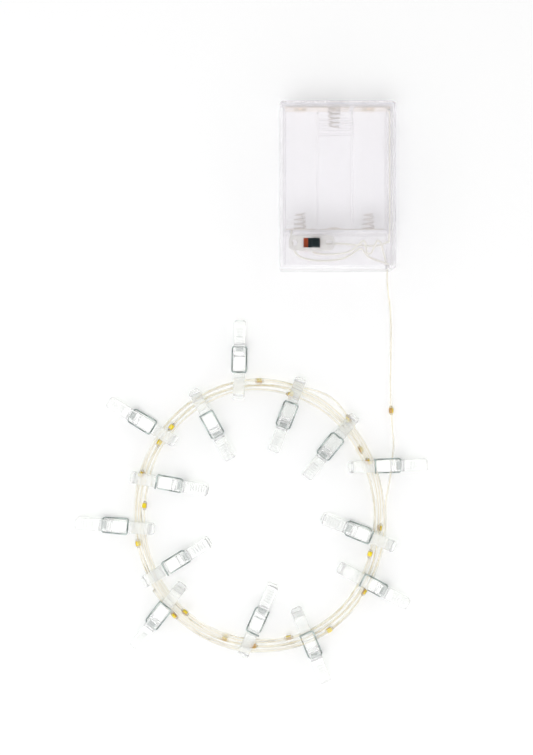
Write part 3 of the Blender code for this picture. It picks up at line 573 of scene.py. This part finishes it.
    def _build_drops(self, lead: list[Vector]) -> list[bpy.types.Object]:
        """Builds the LED drops, and in each a chip on its carrier, rolled about the wire as it was wound.

        Args:
            lead: The lead's line.

        Returns:
            The three pieces.
        """
        drops, chips, carriers = bmesh.new(), bmesh.new(), bmesh.new()
        for (place, along), roll in zip(self.drop_places(lead), self.chip_rolls):
            across = along.cross(UP).normalized()
            turned = Matrix((along, across, across.cross(along))).transposed().to_4x4()
            at = Matrix.Translation(place) @ turned
            round_drop = at @ Matrix.Diagonal((self.drop_length / 2, self.drop_width / 2,
                                               self.drop_width / 2, 1))
            bmesh.ops.create_uvsphere(drops, u_segments=self.drop_segments[0],
                                      v_segments=self.drop_segments[1], radius=1, matrix=round_drop)
            rolled = at @ Matrix.Rotation(math.radians(roll), 4, "X")
            for bm, rise, size in ((chips, self.chip_rise, self.chip_size),
                                   (carriers, self.carrier_rise, self.carrier_size)):
                block = rolled @ Matrix.Translation((0, 0, rise)) @ Matrix.Diagonal((*size, 1))
                bmesh.ops.create_cube(bm, size=1.0, matrix=block)
        for bm in (chips, carriers):
            bmesh.ops.bevel(bm, geom=bm.edges[:], offset=self.chip_edge, affect="EDGES",
                            segments=self.chip_edge_segments, profile=ROUND_PROFILE)
        made = []
        for name, bm, finish in (("led_drops", drops, DROP_EPOXY), ("led_chips", chips, PHOSPHOR),
                                 ("led_carriers", carriers, CARRIER)):
            piece = add_object(name, bm, finish)
            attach(piece, "root")
            made.append(piece)
        return made


# Pegs


class Side(Enum):
    """Which half of a peg a piece belongs to, with its sign along the peg's height."""

    UPPER = 1
    LOWER = -1


@dataclass
class Peg:
    """One clear peg: two levers on a wire spring, gripping the wound ring."""

    length: float = 35.0 * MM
    width: float = 5.0 * MM
    tip_to_axis: float = 22.6 * MM
    tip_to_bar: float = 12.0 * MM
    jaw_gap: float = 0.3 * MM
    jaw_pad: float = 1.6 * MM
    nose_height: float = 1.3 * MM
    nose_length: float = 5.5 * MM
    nose_steps: int = 8
    back_height: float = 3.5 * MM
    handle_height: float = 4.7 * MM
    handle_thickness: float = 1.5 * MM
    handle_round: float = 0.6 * MM
    throat: float = 2.1 * MM
    throat_corner: float = 0.6 * MM
    ridge_height: float = 1.2 * MM
    ridge_length: float = 0.8 * MM
    heel_height: float = 0.9 * MM
    heel_length: float = 1.6 * MM
    teeth: int = 16
    tooth_pitch: float = 0.55 * MM
    tooth_depth: float = 0.26 * MM
    notch_width: float = 1.3 * MM
    notch_depth: float = 0.95 * MM
    seat: float = 2.4 * MM
    seat_steps: int = 12
    wire: float = 0.7 * MM
    wire_sides: int = 10
    coil: float = 1.75 * MM
    coil_turns: float = 4.5
    coil_pitch: float = 0.88 * MM
    spread_turn: float = 0.25
    leg: float = 3.15 * MM
    bar_height: float = 3.2 * MM
    leg_bend: float = 0.9 * MM
    bend_steps: int = 4
    corner: float = 1.1 * MM
    corner_rows: Pair = (0.12 * MM, 0.4 * MM)
    soft_edge: float = 0.14 * MM
    weld: float = 0.001 * MM
    channel_start: float = 2.6 * MM
    channel_length: float = 8.0 * MM
    channel_width: float = 2.6 * MM
    channel_depth: float = 0.45 * MM
    ribs: int = 5
    rib_pitch: float = 1.2 * MM
    rib_height: float = 0.3 * MM
    rib_shares: Triple = (0.15, 0.35, 0.50)
    tilt: float = math.radians(2.407)

    def side_view(self, channel: float) -> list[Pair]:
        """Gives the upper lever's side view about the spring's axis.

        Args:
            channel: How much of the thumb channel's depth it shows, from 0 to 1.

        Returns:
            The points, along and up, with as many points whatever the depth.
        """
        points = [(self.jaw_pad, self.jaw_gap / 2), (0.0, self.jaw_gap / 2)]
        for step in range(self.nose_steps + 1):
            angle = math.pi / 2 * step / self.nose_steps
            points.append((self.nose_length * (1 - math.cos(angle)),
                           self.nose_height + (self.back_height - self.nose_height) * math.sin(angle)))
        floor = self.back_height - self.notch_depth
        near, far = self.tip_to_bar - self.notch_width / 2, self.tip_to_bar + self.notch_width / 2
        inner = self.handle_height - self.handle_thickness
        points += [(near, self.back_height), (near, floor), (far, floor), (far, self.back_height),
                   (self.tip_to_axis, self.back_height)]
        run = self.length - self.handle_round - self.tip_to_axis
        slope = (self.handle_height - self.back_height) / run
        for at, depth in self._channel_profile():
            points.append((self.tip_to_axis + at, self.back_height + slope * at - channel * depth))
        points += [(self.length - self.handle_round, self.handle_height),
                   (self.length, self.handle_height - self.handle_round),
                   (self.length, inner + self.handle_round / 2),
                   (self.length - self.handle_round / 2, inner)]
        heel = math.asin(self.heel_height / self.seat)
        points.append((self.tip_to_axis + self.seat * math.cos(heel) + self.heel_length, self.heel_height))
        ridge = math.pi - math.asin(self.ridge_height / self.seat)
        for step in range(self.seat_steps + 1):
            angle = heel + (ridge - heel) * step / self.seat_steps
            points.append((self.tip_to_axis + self.seat * math.cos(angle), self.seat * math.sin(angle)))
        edge = points[-1][0] - self.ridge_length
        slope_end = edge - (self.throat - self.ridge_height)
        points += [(edge, self.ridge_height), (slope_end, self.throat)]
        first = self.jaw_pad + self.throat_corner
        for tooth in reversed(range(self.teeth)):
            at = first + (tooth + 0.5) * self.tooth_pitch
            points += [(at + self.tooth_pitch / 2, self.throat), (at, self.throat + self.tooth_depth)]
        points += [(first, self.throat), (self.jaw_pad, self.throat - self.throat_corner)]
        return [(x - self.tip_to_axis, z) for x, z in points]

    def _channel_profile(self) -> list[Pair]:
        """Gives the thumb channel's depth along the handle, with the grip ribs that stand in it.

        Returns:
            Pairs of a place along the handle and the channel's depth there.
        """
        end = self.channel_start + self.channel_length
        low, high = self.channel_depth, self.channel_depth - self.rib_height
        rise, crest, foot = (share * self.rib_pitch for share in self.rib_shares)
        profile = [(self.channel_start, 0.0), (self.channel_start, low)]
        for rib in range(self.ribs):
            start = end - (self.ribs - rib) * self.rib_pitch
            profile += [(start, low), (start + rise, high), (start + crest, high), (start + foot, low)]
        return profile + [(end, self.channel_depth), (end, 0.0)]

    def drawn_in(self, x: float, y: float) -> float:
        """Gives how far the lever is drawn in along its length at a place across it.

        Args:
            x: Place along the lever, from the axis.
            y: Place across the lever.

        Returns:
            The shift, towards the handle at the tip and back from the handle's end.
        """
        side = max(0.0, abs(y) - self.width / 2 + self.corner) / self.corner
        share = 1 - math.sqrt(max(0.0, 1 - side * side))
        from_tip = x + self.tip_to_axis
        from_end = self.length - from_tip
        near_tip = max(0.0, 1 - from_tip / self.jaw_pad) ** 2
        near_end = max(0.0, 1 - from_end / self.jaw_pad) ** 2
        return self.corner * share * (near_tip - near_end)

    def lever_mesh(self) -> bpy.types.Mesh:
        """Builds the lever: its side view across the width, a ribbed thumb channel and soft edges.

        Returns:
            The lever's mesh.
        """
        whole, sunk = self.side_view(0.0), self.side_view(1.0)
        half, inner = self.width / 2, self.channel_width / 2
        outer = [half, *(half - row for row in self.corner_rows), half - self.corner]
        sections = [(-y, whole) for y in outer] + [(-inner, whole), (-inner, sunk)]
        sections += [(-y, outline) for y, outline in reversed(sections)]
        bm = bmesh.new()
        rings = [[bm.verts.new((x + self.drawn_in(x, y), y, z)) for x, z in outline]
                 for y, outline in sections]
        for near, far in zip(rings, rings[1:]):
            for i in range(len(whole)):
                bm.faces.new((near[i - 1], near[i], far[i], far[i - 1]))
        bm.faces.new(rings[0])
        bm.faces.new(rings[-1])
        bmesh.ops.remove_doubles(bm, verts=bm.verts, dist=self.weld)
        lever = add_object("peg_lever_blank", bm, PEG_PLASTIC)
        soften(lever, self.soft_edge)
        settle(lever)
        mesh = lever.data
        bpy.data.objects.remove(lever)
        return mesh

    def coil_line(self) -> list[Vector]:
        """Gives the coil's line along the axis, from the lower leg to the upper one.

        Returns:
            The line's points. The turns are packed, and each end spreads to its leg.
        """
        steps = round(self.coil_turns * COIL_STEPS_PER_TURN)
        packed = self.coil_pitch * (self.coil_turns - 2 * self.spread_turn) / 2
        line = []
        for i in range(steps + 1):
            turn = self.coil_turns * i / steps
            angle = 2 * math.pi * turn - math.pi / 2
            inward = min(1.0, min(turn, self.coil_turns - turn) / self.spread_turn)
            side = -1 if turn < self.coil_turns / 2 else 1
            run = self.coil_pitch * (turn - self.coil_turns / 2)
            y = run if inward == 1.0 else side * (self.leg + (packed - self.leg) * inward * (2 - inward))
            line.append(Vector((self.coil * math.cos(angle), y, self.coil * math.sin(angle))))
        return line

    def arm_line(self, side: Side) -> list[Vector]:
        """Gives one arm's line: from the coil's end along the lever's side, and across it in the notch.

        Args:
            side: The lever that the arm presses on.

        Returns:
            The arm's points.
        """
        sign = side.value
        bar = self.tip_to_bar - self.tip_to_axis
        corner = []
        for step in range(self.bend_steps + 1):
            angle = math.pi / 2 * step / self.bend_steps
            corner.append(Vector((bar + self.leg_bend * (1 - math.sin(angle)),
                                  sign * (self.leg - self.leg_bend * (1 - math.cos(angle))),
                                  sign * self.bar_height)))
        start = Vector((0.0, sign * self.leg, sign * self.coil))
        return [start, *corner, Vector((bar, -sign * self.leg, sign * self.bar_height))]

    def build_all(self, joints: list[dict]) -> None:
        """Builds every peg at its own hinge.

        Args:
            joints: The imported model's joints.
        """
        lever = self.lever_mesh()
        leaning = Matrix.Rotation(-self.tilt, 4, "Y")
        levers = {}
        for side, turned in ((Side.UPPER, 0.0), (Side.LOWER, math.pi)):
            levers[side] = lever.copy()
            levers[side].transform(leaning @ Matrix.Rotation(turned, 4, "X"))
        count = 0
        for joint in joints:
            if joint["type"] != "hinge":
                continue
            count += 1
            axis = Vector(joint["axis"])
            heading = math.atan2(axis.y, axis.x) - math.pi / 2
            stand = Matrix.Translation(joint["pos_m"]) @ Matrix.Rotation(heading, 4, "Z")
            self._build_one(joint, stand, stand @ leaning, levers)
        LOG.info("pegs: %d, each of two levers and a spring", count)

    def _build_one(self, joint: dict, stand: Matrix, place: Matrix,
                   levers: dict[Side, bpy.types.Mesh]) -> None:
        """Builds one peg.

        Args:
            joint: Its hinge.
            stand: Its place and heading on the floor, about the spring's axis.
            place: The same with the peg's lean.
            levers: The lever's mesh for either side, leaning already.
        """
        name = joint["name"].replace("_pivot", "")
        bodies = {Side.UPPER: joint["child"], Side.LOWER: "root"}
        for side, body in bodies.items():
            label = side.name.lower()
            piece = link_object(f"{name}_{label}_lever_clear", levers[side])
            piece.matrix_world = stand
            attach(piece, body)
            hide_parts(f"{name}_{label}_lever")
            LOG.info("made %s", piece.name)
        section = round_section(self.wire / 2, self.wire_sides)
        bm = bmesh.new()
        sweep(bm, self.coil_line(), section, up=BACK)
        bmesh.ops.transform(bm, matrix=place, verts=bm.verts)
        coil = add_object(f"{name}_spring_coil", bm, PEG_STEEL)
        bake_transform(coil)
        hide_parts(f"{name}_spring")
        for side, body in bodies.items():
            bm = bmesh.new()
            sweep(bm, self.arm_line(side), section)
            bmesh.ops.transform(bm, matrix=place, verts=bm.verts)
            arm = add_object(f"{name}_spring_{side.name.lower()}_arm", bm, PEG_STEEL)
            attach(arm, body)


# Battery case


@dataclass
class BatteryCase:
    """The clear case: tray, sliding cover, contacts, slide switch and the wires between them."""

    cell_x: Triple = (-16.25 * MM, -1.25 * MM, 13.75 * MM)
    cell_z: float = 11.8 * MM
    bay_front: float = -18.4 * MM
    bay_back: float = 33.6 * MM
    coil_wide: float = 2.6 * MM
    coil_narrow: float = 2.1 * MM
    coil_wire: float = 0.7 * MM
    coil_length: float = 7.6 * MM
    coil_turns: int = 4
    coil_sides: int = 10
    flat_share: float = 0.12
    wire: float = 0.9 * MM
    wire_sides: int = 12
    wire_step: float = 1.0 * MM
    soft_edge: float = 0.25 * MM
    plate_soft_edge: float = 0.0625 * MM
    weld: float = 0.002 * MM
    wire_gap: float = 0.3 * MM
    switch_x: float = -11.3 * MM
    switch_y: float = -25.0 * MM
    exit_x: float = 22.6 * MM
    exit_z: float = 4.2 * MM
    front: float = -34.6 * MM
    divider_front: float = -21.0 * MM
    divider_back: float = -19.4 * MM
    back_plate: float = 33.9 * MM
    roof: float = 19.4 * MM
    channel_x: float = 23.0 * MM
    hole_x: float = -20.05 * MM
    hole_z: float = 15.5 * MM
    terminal_z: float = 12.0 * MM
    terminal_pitch: float = 3.0 * MM
    terminal_half: Pair = (0.4 * MM, 0.25 * MM)
    positive_shares: tuple[Triple, ...] = (
        (0.98, 0.79, 0.37), (0.86, 0.68, 0.33), (0.63, 0.69, 0.32), (0.39, 0.74, 0.34), (0.21, 0.72, 0.40),
    )
    switched_shares: tuple[Triple, ...] = (
        (0.01, 0.51, 0.45), (0.08, 0.40, 0.53), (0.27, 0.37, 0.64), (0.48, 0.44, 0.75), (0.61, 0.68, 0.78),
        (0.67, 0.81, 0.76), (0.70, 0.66, 0.74), (0.71, 0.43, 0.72), (0.76, 0.38, 0.72), (0.81, 0.62, 0.75),
        (0.85, 0.81, 0.74), (0.90, 0.71, 0.64), (0.93, 0.49, 0.46), (0.96, 0.31, 0.21), (0.98, 0.18, 0.05),
    )
    negative_shares: tuple[Triple, ...] = (
        (-0.23, 0.54, 0.72), (-0.15, 0.29, 0.68), (0.04, 0.18, 0.62), (0.25, 0.18, 0.55),
        (0.45, 0.28, 0.53), (0.58, 0.50, 0.54), (0.65, 0.56, 0.55), (0.73, 0.32, 0.53),
        (0.82, 0.22, 0.45), (0.92, 0.15, 0.33), (0.99, 0.10, 0.20), (1.01, 0.10, 0.07),
    )
    blob_radius: float = 0.72 * MM
    blob_depth: float = 0.34 * MM
    blob_segments: tuple[int, int] = (14, 9)

    def build(self, nodes: dict[str, bpy.types.Object]) -> None:
        """Dresses the case's own pieces and builds its springs and wires.

        Args:
            nodes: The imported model's nodes.
        """
        plain = {
            "case_tray": CASE_PLASTIC, "battery_cover": CASE_PLASTIC, "switch_knob": KNOB_PLASTIC,
            "switch_frame": SHEET, "switch_base": BOARD, "contact_series_top": STRIP,
            "contact_series_bottom": STRIP, "contact_positive": STRIP, "contact_negative": STRIP,
        }
        for name, finish in plain.items():
            self._dress(nodes[name], finish)
        LOG.info("case: %d pieces dressed", len(plain))
        self._build_cell_springs()
        self._build_wires()

    def _dress(self, node: bpy.types.Object, finish: Finish) -> None:
        """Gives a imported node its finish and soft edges.

        Args:
            node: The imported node.
            finish: The finish that it gets.
        """
        node.data.materials.clear()
        node.data.materials.append(finish.material())
        joined = node.modifiers.new("joined", "WELD")
        joined.merge_threshold = self.weld
        soften(node, self.plate_soft_edge if "contact" in node.name else self.soft_edge)
        LOG.info("dressed %s", node.name)

    def _build_cell_springs(self) -> None:
        """Builds the three battery springs, standing on their contact plates."""
        for label, x, back in (("left", self.cell_x[0], False), ("middle", self.cell_x[1], True),
                               ("right", self.cell_x[2], False)):
            base = self.bay_back if back else self.bay_front
            along = -1 if back else 1
            steps = self.coil_turns * COIL_STEPS_PER_TURN
            line = []
            for i in range(steps + 1):
                share = i / steps
                angle = 2 * math.pi * self.coil_turns * share
                radius = self.coil_wide + (self.coil_narrow - self.coil_wide) * share
                risen = max(0.0, (share - self.flat_share) / (1 - self.flat_share))
                travel = (self.coil_length - self.coil_wire) * risen
                line.append(Vector((x + radius * math.cos(angle),
                                    base + along * (self.coil_wire / 2 + travel),
                                    self.cell_z + radius * math.sin(angle))))
            bm = bmesh.new()
            sweep(bm, line, round_section(self.coil_wire / 2, self.coil_sides), up=BACK)
            spring = add_object(f"battery_spring_{label}_wire", bm, CELL_STEEL)
            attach(spring, "root")
            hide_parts(f"battery_spring_{label}")
        LOG.info("case: 3 battery springs")

    def _bay_points(self, shares: tuple[Triple, ...]) -> list[Vector]:
        """Gives points of the switch bay.

        Args:
            shares: Their shares of the way from switch to exit, front to divider and exit to roof.

        Returns:
            The points.
        """
        return [Vector((self.switch_x + x * (self.exit_x - self.switch_x),
                        self.front + y * (self.divider_front - self.front),
                        self.exit_z + z * (self.roof - self.exit_z))) for x, y, z in shares]

    def _wire_routes(self) -> dict[str, list[Vector]]:
        """Gives the routes of the case's three wires.

        Returns:
            Each route's points, by the node that the wire stands for.
        """
        bay = self._bay_points(self.positive_shares)
        start = Vector((self.channel_x, self.back_plate - self.wire_gap, self.cell_z))
        corner = Vector((self.channel_x, self.divider_front, (self.cell_z + bay[0].z) / 2))
        middle = Vector((self.channel_x, (start.y + corner.y) / 2, start.z))
        side = self.switch_x + self.terminal_pitch + self.terminal_half[0] + self.wire_gap
        positive = [start, middle, corner, *bay, Vector((side, self.switch_y, self.terminal_z))]
        inside, apart = self.front + self.wire_gap, self.wire / 2 + self.wire_gap / 2
        front_y = self.switch_y - self.terminal_half[1] - self.wire_gap
        switched = [Vector((self.switch_x, front_y, self.terminal_z)),
                    *self._bay_points(self.switched_shares),
                    Vector((self.exit_x - apart, inside, self.exit_z))]
        hole = Vector((self.hole_x, self.divider_back, self.hole_z))
        mouth = Vector((self.hole_x, self.divider_front - 2 * self.wire, self.hole_z))
        negative = [hole, mouth, *self._bay_points(self.negative_shares),
                    Vector((self.exit_x + apart, inside, self.exit_z))]
        return {"wire_positive": positive, "wire_switched": switched, "wire_negative": negative}

    def _build_wires(self) -> None:
        """Builds the three wires of the case and the solder at their ends."""
        routes = self._wire_routes()
        for name, route in routes.items():
            bm = bmesh.new()
            sweep(bm, smooth_line(route, self.wire_step), round_section(self.wire / 2, self.wire_sides))
            wire = add_object(f"{name}_insulated", bm, HOOKUP_PVC)
            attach(wire, "root")
            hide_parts(name)
        sideways = Vector((-1, 0, 0))
        joints = ((routes["wire_positive"][0], BACK), (routes["wire_positive"][-1], sideways),
                  (routes["wire_switched"][0], BACK), (routes["wire_negative"][0], BACK))
        solder = bmesh.new()
        for end, towards in joints:
            turned = towards.to_track_quat("Z", "Y").to_matrix().to_4x4()
            blob = (Matrix.Translation(end + towards * self.wire_gap / 2) @ turned
                    @ Matrix.Diagonal((self.blob_radius, self.blob_radius, self.blob_depth, 1)))
            bmesh.ops.create_uvsphere(solder, u_segments=self.blob_segments[0],
                                      v_segments=self.blob_segments[1], radius=1, matrix=blob)
        blobs = add_object("solder_joints", solder, SOLDER)
        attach(blobs, "root")
        LOG.info("case: 3 wires and their solder")


# Studio


@dataclass
class Studio:
    """The pale floor, the soft light and the camera over the object."""

    camera_xy: Pair = (-30.9 * MM, -83.4 * MM)
    camera_height: float = 700 * MM
    lens_mm: float = 74.8
    sensor_mm: float = 36.0
    camera_reach: Pair = (0.01, 50.0)
    floor_size: float = 4.0
    floor_cells: int = 8
    floor_drop: float = 0.05 * MM
    room: str = "BEBED0"
    room_heights: Pair = (0.02, 0.45)
    zenith: float = 0.35
    zenith_heights: Pair = (0.35, 0.95)
    mirrored_zenith: float = 0.08
    seen_through_zenith: float = 0.22
    bent_zenith_heights: Pair = (0.45, 0.85)
    paper: str = "F4F4F4"
    paper_lift: float = 0.11
    far_lift: float = 0.65
    far_from: float = 0.5
    far_to: float = 1.6
    lamp_watts: float = 7.2
    lamp_size: float = 1.0
    lamp_at: Triple = (-0.20, -0.40, 1.12)

    def build(self) -> None:
        """Sets up camera, light and floor."""
        self._build_camera()
        self._build_sky()
        self._build_lamp()
        self._build_floor()
        bpy.context.scene.view_settings.view_transform = "Standard"
        LOG.info("studio: camera, soft light and floor")

    def _build_camera(self) -> None:
        """Puts the camera straight above, as in the photograph."""
        data = bpy.data.cameras.new("camera")
        data.lens = self.lens_mm
        data.sensor_width = self.sensor_mm
        data.clip_start, data.clip_end = self.camera_reach
        camera = link_object("camera", data)
        camera.location = (*self.camera_xy, self.camera_height)
        bpy.context.scene.camera = camera

    def _build_sky(self) -> None:
        """Makes an even pale sky, white to the camera and dimmer overhead for every other ray.

        Clear plastic and metal see a darker spot straight overhead and a slightly blue room low down, so
        that their edges stand out from the white floor.
        """
        world = bpy.data.worlds.new("studio_sky")
        bpy.context.scene.world = world
        world.use_nodes = True
        tree = world.node_tree
        tree.nodes.clear()
        path = add_node(tree, "ShaderNodeLightPath")
        place = add_node(tree, "ShaderNodeTexCoord")
        height = add_node(tree, "ShaderNodeSeparateXYZ", links={0: place.outputs["Generated"]})
        fades = {}
        for name, (low, high), overhead in (
                ("dome", self.zenith_heights, self.zenith),
                ("mirrored", self.bent_zenith_heights, self.mirrored_zenith),
                ("seen through", self.bent_zenith_heights, self.seen_through_zenith),
                ("room", self.room_heights, 0.0)):
            fade = add_node(tree, "ShaderNodeMapRange",
                            inputs={"From Min": low, "From Max": high, "To Min": 1.0, "To Max": overhead},
                            links={"Value": height.outputs["Z"]}, label=name)
            fades[name] = fade.outputs["Result"]
        level = fades["dome"]
        for ray, name in (("Is Glossy Ray", "mirrored"), ("Is Transmission Ray", "seen through")):
            chosen = add_node(tree, "ShaderNodeMix",
                              links={MIX_SHARE: path.outputs[ray], NUMBER_A: level, NUMBER_B: fades[name]})
            level = chosen.outputs[MIXED_NUMBER]
        level = add_node(tree, "ShaderNodeMix", inputs={NUMBER_B: 1.0},
                         links={MIX_SHARE: path.outputs["Is Camera Ray"], NUMBER_A: level})
        bent = add_node(tree, "ShaderNodeMath", links={0: path.outputs["Is Glossy Ray"],
                                                       1: path.outputs["Is Transmission Ray"]},
                        operation="MAXIMUM")
        share = add_node(tree, "ShaderNodeMath", links={0: fades["room"], 1: bent.outputs[0]},
                         operation="MULTIPLY")
        room = add_node(tree, "ShaderNodeMix",
                        inputs={COLOUR_A: linear("FFFFFF"), COLOUR_B: linear(self.room)},
                        links={MIX_SHARE: share.outputs[0]}, data_type="RGBA")
        sky = add_node(tree, "ShaderNodeBackground", links={"Color": room.outputs[MIXED_COLOUR],
                                                            "Strength": level.outputs[MIXED_NUMBER]})
        add_node(tree, "ShaderNodeOutputWorld", links={"Surface": sky.outputs[0]})

    def _build_lamp(self) -> None:
        """Hangs one large soft lamp high over the object, a little towards its lower left."""
        data = bpy.data.lights.new("soft_lamp", "AREA")
        data.energy = self.lamp_watts
        data.size = self.lamp_size
        lamp = link_object("soft_lamp", data)
        target = Vector((*self.camera_xy, 0))
        lamp.location = target + Vector(self.lamp_at)
        lamp.rotation_euler = (-Vector(self.lamp_at)).to_track_quat("-Z", "Y").to_euler()

    def _build_floor(self) -> None:
        """Makes the white floor, which keeps the object's shadow and stays white far away."""
        material = bpy.data.materials.new("matt_white_paper")
        material.use_nodes = True
        tree = material.node_tree
        tree.nodes.clear()
        path = add_node(tree, "ShaderNodeLightPath")
        seen = path.outputs["Is Camera Ray"]
        for ray in ("Is Glossy Ray", "Is Transmission Ray"):
            either = add_node(tree, "ShaderNodeMath", links={0: seen, 1: path.outputs[ray]},
                              operation="MAXIMUM")
            seen = either.outputs[0]
        lift = add_node(tree, "ShaderNodeMapRange", inputs={"To Min": 0.0, "To Max": self.paper_lift},
                        links={"Value": seen})
        place = add_node(tree, "ShaderNodeTexCoord")
        away = add_node(tree, "ShaderNodeVectorMath", links={0: place.outputs["Object"]},
                        operation="LENGTH")
        far = add_node(tree, "ShaderNodeMapRange",
                       inputs={"From Min": self.far_from, "From Max": self.far_to, "To Max": self.far_lift},
                       links={"Value": away.outputs["Value"]})
        far = add_node(tree, "ShaderNodeMath",
                       links={0: far.outputs["Result"], 1: path.outputs["Is Camera Ray"]},
                       operation="MULTIPLY")
        strength = add_node(tree, "ShaderNodeMath",
                            links={0: lift.outputs["Result"], 1: far.outputs[0]}, operation="ADD")
        lit = add_node(tree, "ShaderNodeEmission", links={"Strength": strength.outputs[0]})
        paper = add_node(tree, "ShaderNodeBsdfDiffuse", inputs={"Color": linear(self.paper)})
        both = add_node(tree, "ShaderNodeAddShader", links={0: paper.outputs[0], 1: lit.outputs[0]})
        add_node(tree, "ShaderNodeOutputMaterial", links={"Surface": both.outputs[0]})
        bm = bmesh.new()
        bmesh.ops.create_grid(bm, x_segments=self.floor_cells, y_segments=self.floor_cells,
                              size=self.floor_size / 2)
        mesh = bpy.data.meshes.new("floor")
        bm.to_mesh(mesh)
        bm.free()
        mesh.materials.append(material)
        floor = link_object("floor", mesh)
        floor.location = (*self.camera_xy, -self.floor_drop)


# The whole scene


def remove_starting_objects() -> None:
    """Empties the scene of whatever it starts with."""
    for thing in list(bpy.data.objects):
        bpy.data.objects.remove(thing)


def main() -> None:
    """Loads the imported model, dresses it and sets up the studio."""
    logging.basicConfig(level=logging.INFO, format="%(name)s %(message)s")
    remove_starting_objects()
    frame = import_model()
    Studio().build()
    WoundWire().build()
    Peg().build_all(frame["joints"])
    BatteryCase().build(frame["nodes"])
    LOG.info("all pieces are dressed")


if __name__ == "__main__":
    main()
